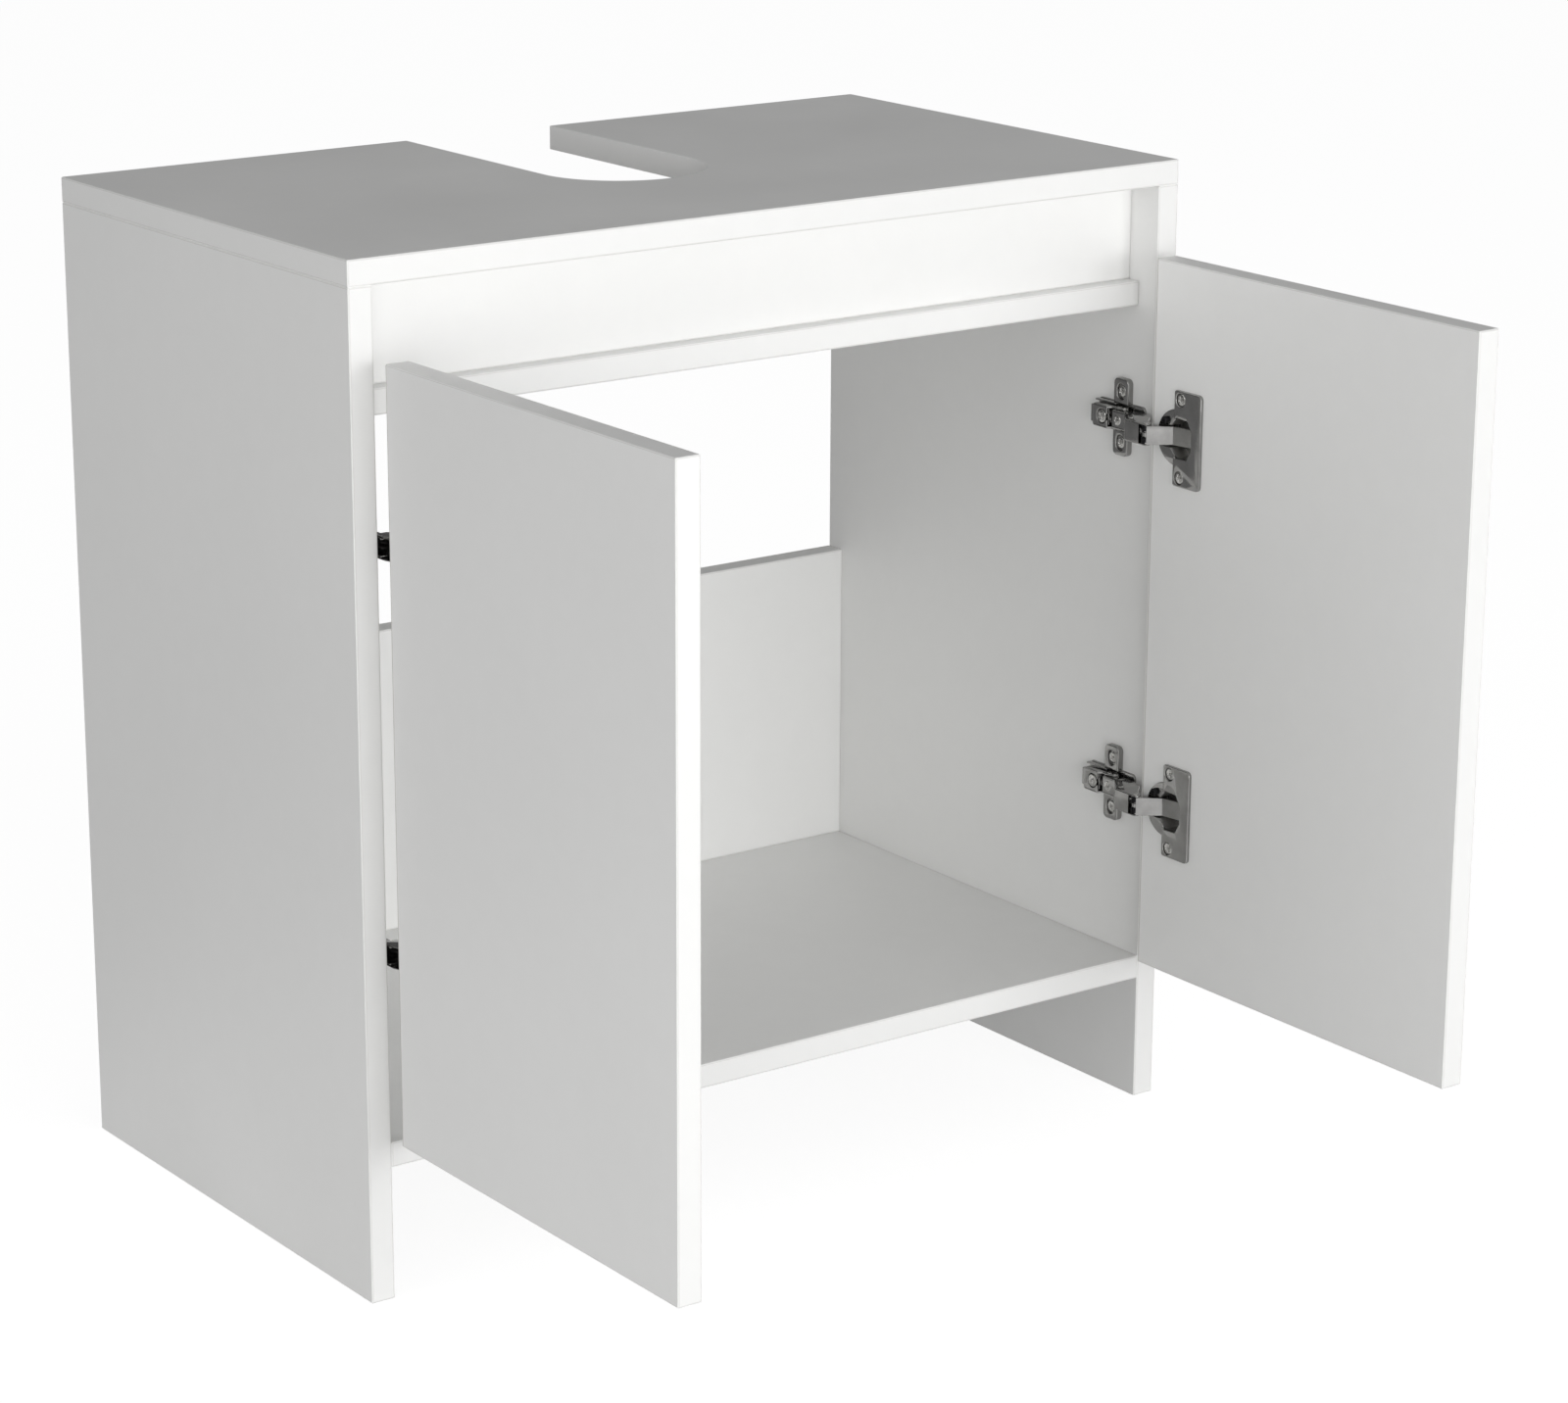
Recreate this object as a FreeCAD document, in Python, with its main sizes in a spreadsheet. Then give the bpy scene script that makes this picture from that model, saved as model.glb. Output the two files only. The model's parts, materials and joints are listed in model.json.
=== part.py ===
import FreeCAD, Part
import math
import os

import Sketcher
from FreeCAD import Placement, Rotation, Vector

# A sink base cabinet of 15 mm coated board with two inset doors on concealed
# hinges. The doors are drawn at rest standing open at a right angle.
# Frame: +X to the right, +Y to the back, +Z up; the origin is on the floor, in
# the middle of the whole outline, open doors included.

DIMENSIONS = {
    # carcass
    "cabinet_width": 580,
    "cabinet_depth": 330,
    "cabinet_height": 600,
    "board": 15,
    "edge_break": 0.6,
    "shelf_height": 80,
    "back_height": 200,
    "fascia_height": 60,
    "fascia_setback": 25,
    "rail_depth": 60,
    "rail_setback": 16,
    "notch_width": 105,
    "notch_centre": 173,
    # dowels pressed into the boards where they meet
    "dowel_diameter": 8,
    "dowel_length": 30,
    "dowel_bite": 10,
    "dowel_front": 60,
    "dowel_back": 270,
    # doors, and where a door's inner face and hinge edge stand when it is open
    "door_base": 98,
    "door_height": 447,
    "door_side_gap": 2,
    "door_middle_gap": 1,
    "open_inset": 13,
    "open_edge": -15,
    "hinge_rise": 106,
    # pivots of the hinge, from the side panel's face and the cabinet's front
    "swing_x": -6,
    "swing_y": 24,
    "outer_x": -21.8,
    "outer_y": -19,
    "inner_x": -19,
    "inner_y": -2,
    # the step that both links span, and the step between the lever's pivots
    # and the arm's and inner link's own
    "span_x": 13.5,
    "span_y": -29.5,
    "crank_x": 1.2,
    "crank_y": -4.3,
    "pin_radius": 1.2,
    "fit": 0.02,
    "running_gap": 0.05,
    # sheet metal of the hinge, as half heights about its middle plane
    "arm_outside": 7.1,
    "arm_inside": 5.9,
    "nose_outside": 6.7,
    "nose_inside": 5.9,
    "tongue_outside": 5.7,
    "tongue_inside": 4.5,
    "band_half": 5.75,
    "band_radius": 0.65,
    "eye_half": 1.3,
    "bar_half": 4,
    "fork_half": 1.8,
    "lever_half": 1.5,
    "web_face": 11,
    "sheet": 1.2,
    # round ends of the hinge's pieces about their pins
    "arm_boss": 2.3,
    "nose_boss": 2.4,
    "lever_boss": 1.9,
    "band_boss": 2,
    "eye_boss": 2.2,
    "bar_boss": 2.1,
    # mounting plate
    "wing_front": 19,
    "wing_back": 32.6,
    "wing_half": 24.25,
    "wing_thickness": 4,
    "plate_front": 6,
    "plate_back": 49.5,
    "plate_half": 9,
    "plate_thickness": 1.5,
    "bed_play": 0.5,
    "rail_front": 31,
    "rail_back": 48,
    "rail_half": 5.6,
    "rail_rise": 9,
    "plate_screw_spacing": 32,
    # cup let into the door
    "bore_diameter": 35,
    "bore_depth": 12,
    "bore_edge": 23,
    "cup_play": 0.1,
    "cup_depth": 11.5,
    "rim_thickness": 0.8,
    "hollow_depth": 10.7,
    "hollow_half": 12,
    "hollow_near": 7,
    "hollow_far": 36.8,
    "hollow_round": 9,
    "strip_thickness": 2,
    "strip_near": 21.5,
    "strip_far": 45.5,
    "strip_half": 29.5,
    "corner_round": 3,
    "cup_pin_half": 12.8,
    "cup_screw_spacing": 48,
    "cup_screw_setback": 27,
    # screws
    "screw_radius": 1.9,
    "screw_head": 3.6,
    "screw_head_depth": 1.6,
    "screw_length": 12,
    "shank_play": 0.3,
    "head_play": 0.1,
    "pilot_spare": 0.5,
    "depth_screw_y": 35.6,
    "depth_screw_head": 4.1,
    "nose_screw_y": 20.5,
    "nose_screw_head": 3.8,
    "adjuster_radius": 1.6,
    "adjuster_rise": 0.7,
    "adjuster_length": 1.8,
    # torsion springs
    "wire_radius": 0.45,
    "coil_radius": 2.2,
    "coil_pitch": 1.5,
    "coil_turns": 1.5,
    "coil_start": 1.95,
    "coil_leg": 3,
}

doc = FreeCAD.newDocument("sink_base_cabinet")
sheet = doc.addObject("Spreadsheet::Sheet", "dims")
for row, (alias, number) in enumerate(DIMENSIONS.items(), 1):
    sheet.set("A%d" % row, alias)
    sheet.set("B%d" % row, str(number))
    sheet.setAlias("B%d" % row, alias)
doc.recompute()

# Places worked out from the driving dimensions. The outline's middle lies half
# way between the free edges of the open doors and the cabinet's back.
INNER = "(dims.cabinet_width / 2 - dims.board)"
CARCASS_TOP = "(dims.cabinet_height - dims.board)"
HALF_BOARD = "(dims.board / 2)"
DOOR_WIDTH = "(%s - dims.door_side_gap - dims.door_middle_gap)" % INNER
FRONT = "(-(dims.cabinet_depth + dims.open_edge - %s) / 2)" % DOOR_WIDTH
DOOR_MIDDLE = "(dims.door_base + dims.door_height / 2)"
HINGE_SPREAD = "(dims.door_height / 2 - dims.hinge_rise)"
HINGE_HEIGHT = {
    "lower": "(%s - %s)" % (DOOR_MIDDLE, HINGE_SPREAD),
    "upper": "(%s + %s)" % (DOOR_MIDDLE, HINGE_SPREAD),
}
DOOR_FACE = "(-dims.open_inset)"
STRIP_FACE = "(-dims.open_inset - dims.strip_thickness)"
CUP_AXIS = "(dims.open_edge - dims.bore_edge)"
CUP_SCREW_LINE = "(dims.open_edge - dims.cup_screw_setback)"
WING_MIDDLE = "((dims.wing_front + dims.wing_back) / 2)"
SIDES = {"left": -1, "right": 1}

PIVOTS = {
    "hinge": ("0", "0"),
    "swing": ("dims.swing_x", "dims.swing_y"),
    "outer": ("dims.outer_x", "dims.outer_y"),
    "inner": ("dims.inner_x", "dims.inner_y"),
    "outer_cup": ("dims.outer_x + dims.span_x", "dims.outer_y + dims.span_y"),
    "inner_cup": ("dims.inner_x + dims.span_x", "dims.inner_y + dims.span_y"),
    "lever_fixed": ("dims.swing_x + dims.crank_x", "dims.swing_y + dims.crank_y"),
    "lever_moving": ("dims.inner_x + dims.crank_x", "dims.inner_y + dims.crank_y"),
}

# Round parts of the hinges, of which there are a great many, are drawn with a few
# flats, apart from the pins that the joints turn on. The flats of a hole for a
# round or turning pin lie outside the pin's circle by the fit or the gap.
FLATS = 12
CUP_FLATS = 24
PIN_FLATS = 8
SHANK_FLATS = 6
PIN_HOLE = "(dims.pin_radius + dims.fit)"
ROUND_PIN_HOLE = "((dims.pin_radius + dims.fit) / cos(%g deg))" % (180 / PIN_FLATS)
RUNNING_HOLE = "((dims.pin_radius + dims.running_gap) / cos(%g deg))" % (180 / PIN_FLATS)
SCREW_HOLE = "(dims.screw_radius + dims.fit)"
ADJUSTER_HOLE = "(dims.adjuster_radius + dims.fit)"

ALONG_X = Rotation(Vector(0, 1, 0), 90)
AGAINST_X = Rotation(Vector(0, 1, 0), -90)
TURNED_OVER = Rotation(Vector(0, 1, 0), 180)

subparts = []


def value(expression):
    """The number that an expression on the sheet stands for."""
    result = sheet.evalExpression(str(expression))
    return float(getattr(result, "Value", result))


def near(pivot, across=0.0, along=0.0):
    """A point of a hinge outline, given from one of its pivots."""
    x, y = PIVOTS[pivot]
    return ("%s %+g" % (x, across), "%s %+g" % (y, along))


def place(item, base, turn=None):
    """Put an object at a base bound to the sheet, turned as one Rotation."""
    item.Placement = Placement(Vector(*[value(part) for part in base]), turn or Rotation())
    for letter, part in zip("xyz", base):
        item.setExpression("Placement.Base.%s" % letter, str(part))


def keep(item, label):
    """Name a finished sub-part, which is written to a file of that name."""
    item.Label = label
    subparts.append(item)
    return item


# ---------------------------------------------------------------- sketches

def new_sketch(body, plane="XY_Plane", offset="0"):
    """A sketch on one of the body's own origin planes, moved along its normal."""
    sketch = body.newObject("Sketcher::SketchObject", "sketch")
    support = [item for item in body.Origin.OriginFeatures if item.Role == plane][0]
    sketch.AttachmentSupport = [(support, "")]
    sketch.MapMode = "FlatFace"
    sketch.setExpression("AttachmentOffset.Base.z", str(offset))
    return sketch


def hold(sketch, geometry, corner, point):
    """Tie one point of the sketch to a place given by two expressions."""
    for kind, part in zip(("DistanceX", "DistanceY"), point):
        index = sketch.addConstraint(
            Sketcher.Constraint(kind, -1, 1, geometry, corner, value(part)))
        sketch.setExpression("Constraints[%d]" % index, str(part))


def draw_outline(sketch, points):
    """A closed outline of straight lines through the points."""
    corners = [Vector(value(x), value(y), 0) for x, y in points]
    count = len(corners)
    for index in range(count):
        line = Part.LineSegment(corners[index], corners[(index + 1) % count])
        sketch.addGeometry(line, False)
    for index in range(count):
        joined = Sketcher.Constraint("Coincident", index, 2, (index + 1) % count, 1)
        sketch.addConstraint(joined)
    for index, point in enumerate(points):
        hold(sketch, index, 1, point)


def draw_circle(sketch, centre, radius):
    """A true circle about a point."""
    middle = Vector(value(centre[0]), value(centre[1]), 0)
    circle = Part.Circle(middle, Vector(0, 0, 1), value(radius))
    index = sketch.addGeometry(circle, False)
    hold(sketch, index, 3, centre)
    bound = sketch.addConstraint(Sketcher.Constraint("Radius", index, value(radius)))
    sketch.setExpression("Constraints[%d]" % bound, str(radius))


def draw_bar(sketch, start, end, radius):
    """A straight bar with round ends: two arcs about its ends and two tangents."""
    first = Vector(value(start[0]), value(start[1]), 0)
    last = Vector(value(end[0]), value(end[1]), 0)
    reach = value(radius)
    heading = math.atan2(last.y - first.y, last.x - first.x)
    side = Vector(-math.sin(heading), math.cos(heading), 0) * reach
    quarter = math.pi / 2
    near_end = Part.ArcOfCircle(Part.Circle(first, Vector(0, 0, 1), reach),
                                heading + quarter, heading + 3 * quarter)
    far_end = Part.ArcOfCircle(Part.Circle(last, Vector(0, 0, 1), reach),
                               heading - quarter, heading + quarter)
    sketch.addGeometry([near_end, Part.LineSegment(first - side, last - side),
                        far_end, Part.LineSegment(last + side, first + side)], False)
    for index in range(4):
        smooth = Sketcher.Constraint("Tangent", index, 2, (index + 1) % 4, 1)
        sketch.addConstraint(smooth)
    hold(sketch, 0, 3, start)
    hold(sketch, 2, 3, end)
    bound = sketch.addConstraint(Sketcher.Constraint("Radius", 0, reach))
    sketch.setExpression("Constraints[%d]" % bound, str(radius))


def rectangle(low, high):
    """The corners of an upright rectangle."""
    return [low, (high[0], low[1]), high, (low[0], high[1])]


def ring(centre, radius, flats=FLATS):
    """The corners of a small round shape, one of them straight above its middle."""
    points = []
    for index in range(flats):
        angle = 90 + 360 * index / flats
        points.append(("%s + %s * cos(%g deg)" % (centre[0], radius, angle),
                       "%s + %s * sin(%g deg)" % (centre[1], radius, angle)))
    return points


def rounded(low, high, radius, steps):
    """An upright rectangle whose corners are rounded off in a few steps."""
    quarters = [(high[0], -1, high[1], -1), (low[0], 1, high[1], -1),
                (low[0], 1, low[1], 1), (high[0], -1, low[1], 1)]
    points = []
    for quarter, (across, inward, along, upward) in enumerate(quarters):
        for step in range(steps + 1):
            angle = 90 * (quarter + step / steps)
            points.append(("%s + %s * (%d + cos(%g deg))" % (across, radius, inward, angle),
                           "%s + %s * (%d + sin(%g deg))" % (along, radius, upward, angle)))
    return points


# ---------------------------------------------------------------- features

def extrude(body, kind, sketch, length, way):
    """A Pad or Pocket of a sketch, along or against its normal, or both ways."""
    feature = body.newObject("PartDesign::%s" % kind, kind.lower())
    feature.Profile = sketch
    feature.SideType = "Symmetric" if way == "both" else "One side"
    feature.Reversed = way == ("against" if kind == "Pad" else "along")
    feature.setExpression("Length", str(length))
    return feature


def level_shape(body, kind, points, half):
    """Fill or cut an outline on the XY plane, half above and half below it."""
    sketch = new_sketch(body)
    draw_outline(sketch, points)
    extrude(body, kind, sketch, "2 * %s" % half, "both")


def level_bar(body, start, end, radius, half):
    """Fill a round-ended bar on the XY plane."""
    sketch = new_sketch(body)
    draw_bar(sketch, start, end, radius)
    extrude(body, "Pad", sketch, "2 * %s" % half, "both")


def pin_holes(body, pivots, radius, half):
    """Holes for pins at named pivots, along Z."""
    for pivot in pivots:
        level_shape(body, "Pocket", ring(near(pivot), radius, PIN_FLATS), half)


def wall_shape(body, kind, points, offset, length, way):
    """Fill or cut an outline that faces along X, from a plane at an offset."""
    sketch = new_sketch(body, "YZ_Plane", offset)
    draw_outline(sketch, points)
    extrude(body, kind, sketch, length, way)


def drill(body, hand, hole, depth):
    """A hole into the inner face of an upright board on the given side."""
    offset, way = ("0", "along") if hand > 0 else ("dims.board", "against")
    wall_shape(body, "Pocket", hole, offset, depth, way)


def new_board(size):
    """A rectangular board with its lowest corner at its own origin."""
    body = doc.addObject("PartDesign::Body", "board")
    sketch = new_sketch(body)
    draw_outline(sketch, rectangle(("0", "0"), (size[0], size[1])))
    return body, extrude(body, "Pad", sketch, size[2], "along")


def break_edges(body, feature):
    """Take the sharpness off every edge of the board."""
    doc.recompute()
    edges = ["Edge%d" % (index + 1) for index in range(len(feature.Shape.Edges))]
    chamfer = body.newObject("PartDesign::Chamfer", "chamfer")
    chamfer.Base = (feature, edges)
    chamfer.setExpression("Size", "dims.edge_break")


# ---------------------------------------------------------------- carcass

BOARDS = {
    "bottom_shelf": (("-" + INNER, FRONT, "dims.shelf_height"),
                     ("2 * " + INNER, "dims.cabinet_depth", "dims.board")),
    "back_panel": (("-" + INNER, "%s + dims.cabinet_depth - dims.board" % FRONT,
                    "dims.shelf_height + dims.board"),
                   ("2 * " + INNER, "dims.board", "dims.back_height")),
    "fascia_panel": (("-" + INNER, "%s + dims.fascia_setback" % FRONT,
                      "%s - dims.fascia_height" % CARCASS_TOP),
                     ("2 * " + INNER, "dims.board", "dims.fascia_height")),
    "front_rail": (("-" + INNER, "%s + dims.rail_setback" % FRONT,
                    "%s - dims.fascia_height - dims.board" % CARCASS_TOP),
                   ("2 * " + INNER, "dims.rail_depth", "dims.board")),
}

# Dowels that lie along X between a side panel and a board between the sides:
# how far back and how high each lies.
CROSS_DOWELS = [
    ("dims.dowel_front", "dims.shelf_height + %s" % HALF_BOARD),
    ("dims.dowel_back", "dims.shelf_height + %s" % HALF_BOARD),
    ("dims.cabinet_depth - %s" % HALF_BOARD,
     "dims.shelf_height + dims.board + dims.back_height / 2"),
    ("dims.fascia_setback + %s" % HALF_BOARD, "%s - dims.fascia_height / 2" % CARCASS_TOP),
    ("dims.rail_setback + dims.rail_depth / 2",
     "%s - dims.fascia_height - %s" % (CARCASS_TOP, HALF_BOARD)),
]
TOP_DOWELS = ["dims.dowel_front", "dims.dowel_back"]


def cross_board(name):
    """A board that lies between the side panels."""
    corner, size = BOARDS[name]
    body, solid = new_board(size)
    break_edges(body, solid)
    place(body, corner)
    return keep(body, name)


def side_panel(name, hand):
    """One side of the carcass, drilled for the screws of its mounting plates."""
    size = ("dims.board", "dims.cabinet_depth", CARCASS_TOP)
    body, solid = new_board(size)
    break_edges(body, solid)
    depth = "dims.screw_length - dims.wing_thickness + dims.pilot_spare"
    for height in HINGE_HEIGHT.values():
        for way in (-1, 1):
            centre = (WING_MIDDLE, "%s %+g * dims.plate_screw_spacing" % (height, way / 2))
            drill(body, hand, ring(centre, SCREW_HOLE, SHANK_FLATS), depth)
    left_edge = INNER if hand > 0 else "-dims.cabinet_width / 2"
    place(body, (left_edge, FRONT, "0"))
    return keep(body, name)


def top_panel():
    """The top, which lies on the sides, with the deep notch for the siphon."""
    body, _ = new_board(("dims.cabinet_width", "dims.cabinet_depth", "dims.board"))
    middle = "dims.cabinet_width / 2"
    half = "dims.notch_width / 2"
    notch_end = new_sketch(body)
    draw_circle(notch_end, (middle, "dims.notch_centre"), half)
    extrude(body, "Pocket", notch_end, "dims.board", "along")
    mouth = new_sketch(body)
    draw_outline(mouth, rectangle(("%s - %s" % (middle, half), "dims.notch_centre"),
                                  ("%s + %s" % (middle, half), "dims.cabinet_depth + dims.board")))
    notched = extrude(body, "Pocket", mouth, "dims.board", "along")
    break_edges(body, notched)
    place(body, ("-dims.cabinet_width / 2", FRONT, CARCASS_TOP))
    return keep(body, "top_panel")


def rod(radius, length, base, turn=None, flats=FLATS):
    """A bar from base along Z before its turn, with a few flats or truly round."""
    item = doc.addObject("Part::Prism" if flats else "Part::Cylinder", "rod")
    if flats:
        item.Polygon = flats
    item.setExpression("Circumradius" if flats else "Radius", str(radius))
    item.setExpression("Height", str(length))
    place(item, base, turn)
    return item


def group(label, items):
    """Like pieces that share one node, as separate solids."""
    item = doc.addObject("Part::MultiFuse", "group")
    item.Shapes = items
    item.Placement = Placement()
    return keep(item, label)


def dowels():
    """Every dowel of the carcass, pressed into the two boards that it joins."""
    items = []
    reach = "(dims.dowel_length - dims.dowel_bite)"
    for hand in SIDES.values():
        turn = ALONG_X if hand > 0 else AGAINST_X
        for back, up in CROSS_DOWELS:
            start = ("%+d * (%s - %s)" % (hand, INNER, reach), "%s + %s" % (FRONT, back), up)
            items.append(rod("dims.dowel_diameter / 2", "dims.dowel_length", start, turn,
                             SHANK_FLATS))
        for back in TOP_DOWELS:
            start = ("%+d * (%s + %s)" % (hand, INNER, HALF_BOARD), "%s + %s" % (FRONT, back),
                     "%s - %s" % (CARCASS_TOP, reach))
            items.append(rod("dims.dowel_diameter / 2", "dims.dowel_length", start,
                             flats=SHANK_FLATS))
    return group("dowels", items)


# ---------------------------------------------------------------- doors

def door(name, hand):
    """An inset door standing open, bored for its two hinge cups."""
    size = ("dims.board", DOOR_WIDTH, "dims.door_height")
    body, solid = new_board(size)
    break_edges(body, solid)
    depth = "dims.screw_length - dims.strip_thickness + dims.pilot_spare"
    for height in HINGE_HEIGHT.values():
        rise = "%s - dims.door_base" % height
        bore = ("%s - dims.bore_edge" % DOOR_WIDTH, rise)
        drill(body, hand, ring(bore, "dims.bore_diameter / 2", CUP_FLATS), "dims.bore_depth")
        for way in (-1, 1):
            centre = ("%s - dims.cup_screw_setback" % DOOR_WIDTH,
                      "%s %+g * dims.cup_screw_spacing" % (rise, way / 2))
            drill(body, hand, ring(centre, SCREW_HOLE, SHANK_FLATS), depth)
    inner_x = "%s - dims.open_inset" % INNER
    left_edge = inner_x if hand > 0 else "-(%s) - dims.board" % inner_x
    place(body, (left_edge, "%s + dims.open_edge - %s" % (FRONT, DOOR_WIDTH), "dims.door_base"))
    return keep(body, name)


# ---------------------------------------------------------------- hinge
# Each hinge piece is drawn for the right side with its origin on the side
# panel's inner face, in the cabinet's front plane, at the hinge's own height.
# The same hinge turned upside down serves the left side.

def place_on_side(item, side, level):
    """Stand a hinge piece on its side panel, turned over on the left."""
    hand = SIDES[side]
    base = ("%+d * %s" % (hand, INNER), FRONT, HINGE_HEIGHT[level])
    place(item, base, Rotation() if hand > 0 else TURNED_OVER)


def hinge_piece(kind, side, level, make):
    """One hinge piece: a body that a function fills, placed and named."""
    body = doc.addObject("PartDesign::Body", kind)
    make(body)
    place_on_side(body, side, level)
    return keep(body, "%s_%s_%s" % (kind, level, side))


def mounting_plate(body):
    """The winged plate screwed to the side panel, with the rail for the arm."""
    wing = rounded(("dims.wing_front", "-dims.wing_half"), ("dims.wing_back", "dims.wing_half"),
                   "dims.corner_round", 2)
    wall_shape(body, "Pad", wing, "0", "dims.wing_thickness", "against")
    bed = rectangle(("0", "-(dims.arm_outside + dims.bed_play)"),
                    ("dims.plate_back", "dims.arm_outside + dims.bed_play"))
    wall_shape(body, "Pocket", bed, "-dims.plate_thickness", "dims.wing_thickness", "against")
    base = rounded(("dims.plate_front", "-dims.plate_half"),
                   ("dims.plate_back", "dims.plate_half"), "dims.corner_round", 1)
    wall_shape(body, "Pad", base, "0", "dims.plate_thickness", "against")
    rail = rectangle(("dims.rail_front", "-dims.rail_half"), ("dims.rail_back", "dims.rail_half"))
    wall_shape(body, "Pad", rail, "0", "dims.rail_rise", "against")
    for way in (-1, 1):
        centre = (WING_MIDDLE, "%+g * dims.plate_screw_spacing" % (way / 2))
        shank = ring(centre, "(dims.screw_radius + dims.shank_play)", SHANK_FLATS)
        wall_shape(body, "Pocket", shank, "0", "dims.wing_thickness", "against")
        head = ring(centre, "(dims.screw_head + dims.head_play)")
        wall_shape(body, "Pocket", head, "-dims.wing_thickness", "dims.screw_head_depth", "along")


def hinge_arm(body):
    """The channel that slides on the rail and carries the two fixed pivots."""
    cheek = [near("hinge", -11, 44), near("hinge", -11, 31), near("swing", -2.4, 7),
             near("swing", -2.4, -0.6), near("lever_fixed", -2.3, -0.6),
             near("lever_fixed", 2.2, 0.6), near("hinge", -2.6, 26), near("hinge", -2.6, 44)]
    level_shape(body, "Pad", cheek, "dims.arm_outside")
    level_shape(body, "Pad", ring(near("lever_fixed"), "dims.arm_boss"), "dims.arm_outside")
    channel = rectangle(near("hinge", -9.8, 12), near("hinge", 1, 46))
    level_shape(body, "Pocket", channel, "dims.arm_inside")
    pin_holes(body, ("swing", "lever_fixed"), ROUND_PIN_HOLE, "dims.arm_outside")
    screw_hole = ring(("dims.depth_screw_y", "0"), ADJUSTER_HOLE, SHANK_FLATS)
    wall_shape(body, "Pocket", screw_hole, "-dims.web_face", "dims.sheet", "along")


def hinge_nose(body):
    """The folded nose that swings on the arm and carries both link pins."""
    cheek = [near("hinge", -12.6, 12), near("hinge", -24.5, -2.5), near("outer", -2.7, 0),
             near("outer", -2, -2.6), near("outer", 0.2, -3.4), near("outer", 2.4, -2.4),
             near("hinge", -15.8, -14.6), near("hinge", -11.8, -11), near("hinge", -7.8, -6.5),
             near("hinge", -4.8, 2), near("hinge", -4.6, 12)]
    tongue = [near("swing", -5, 1), near("swing", -5, -10), near("swing", -6.6, -12),
              near("swing", -12, -19), near("swing", 1.4, -19), near("swing", 1.4, -6.6),
              near("swing", 0, -6.2), near("swing", -0.7, -4.9), near("swing", -0.7, -2),
              near("swing", 0, 2.4)]
    level_shape(body, "Pad", cheek, "dims.nose_outside")
    level_shape(body, "Pad", tongue, "dims.tongue_outside")
    level_shape(body, "Pad", ring(near("swing"), "dims.nose_boss"), "dims.tongue_outside")
    # the sheet is folded from a web 1.2 thick, cut short beside the springs
    hollow = [near("hinge", -23.3, -2.93), near("hinge", -23.3, -15.4), near("hinge", -27, -15.4),
              near("hinge", -27, -30), near("hinge", 2, -30), near("hinge", 2, 5),
              near("hinge", -16.81, 5)]
    level_shape(body, "Pocket", hollow, "dims.nose_inside")
    throat = [near("hinge", -16.81, 5), near("hinge", -9.8, 13.57), near("hinge", -9.8, 30),
              near("hinge", 2, 30), near("hinge", 2, 5)]
    level_shape(body, "Pocket", throat, "dims.tongue_inside")
    pin_holes(body, ("swing",), RUNNING_HOLE, "dims.nose_outside")
    pin_holes(body, ("outer", "inner"), ROUND_PIN_HOLE, "dims.nose_outside")
    screw_hole = ring(("dims.nose_screw_y", "0"), ADJUSTER_HOLE, SHANK_FLATS)
    wall_shape(body, "Pocket", screw_hole, "-dims.web_face", "dims.sheet", "along")


def control_lever(body):
    """The flat lever from the arm to the inner link, which steers the nose."""
    bar = [near("lever_fixed", -1, 0.5), near("lever_fixed", 1, -0.5),
           near("lever_moving", 1, -0.5), near("lever_moving", -1, 0.5)]
    level_shape(body, "Pad", bar, "dims.lever_half")
    for pivot in ("lever_fixed", "lever_moving"):
        level_shape(body, "Pad", ring(near(pivot), "dims.lever_boss"), "dims.lever_half")
    pin_holes(body, ("lever_fixed", "lever_moving"), RUNNING_HOLE, "dims.lever_half")


def outer_link(body):
    """The broad band from the nose into the cup, with its narrow eye."""
    bend = near("outer", 10.7, -13.2)
    level_bar(body, near("outer", -2.2, -3.1), bend, "dims.band_radius", "dims.band_half")
    level_bar(body, bend, near("outer_cup"), "dims.band_radius", "dims.band_half")
    level_shape(body, "Pad", ring(near("outer_cup"), "dims.band_boss"), "dims.band_half")
    neck = [near("outer", 0.85, 0.3), near("outer", -0.85, -0.3), near("outer", 1.15, -5.8),
            near("outer", 2.85, -5.2)]
    level_shape(body, "Pad", neck, "dims.eye_half")
    level_shape(body, "Pad", ring(near("outer"), "dims.eye_boss"), "dims.eye_half")
    pin_holes(body, ("outer", "outer_cup"), RUNNING_HOLE, "dims.band_half")


def inner_link(body):
    """The forked bar that runs beside the outer link and takes the lever."""
    bar = [near("inner", -1.5, 0), near("lever_moving", -1.5, 0), near("inner", 0.8, -11),
           near("inner", 0.8, -20.7), near("inner_cup", -1, -1.1), near("inner_cup", 1, 1.1),
           near("inner", 3.8, -19.3), near("inner", 3.8, -11), near("lever_moving", 1.5, 0),
           near("inner", 1.5, 0)]
    level_shape(body, "Pad", bar, "dims.bar_half")
    for pivot in ("inner", "lever_moving", "inner_cup"):
        level_shape(body, "Pad", ring(near(pivot), "dims.bar_boss"), "dims.bar_half")
    fork = rectangle(near("inner", -4, -7.4), near("inner", 6, 3))
    level_shape(body, "Pocket", fork, "dims.fork_half")
    pin_holes(body, ("inner", "inner_cup"), RUNNING_HOLE, "dims.bar_half")
    pin_holes(body, ("lever_moving",), PIN_HOLE, "dims.bar_half")


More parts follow.
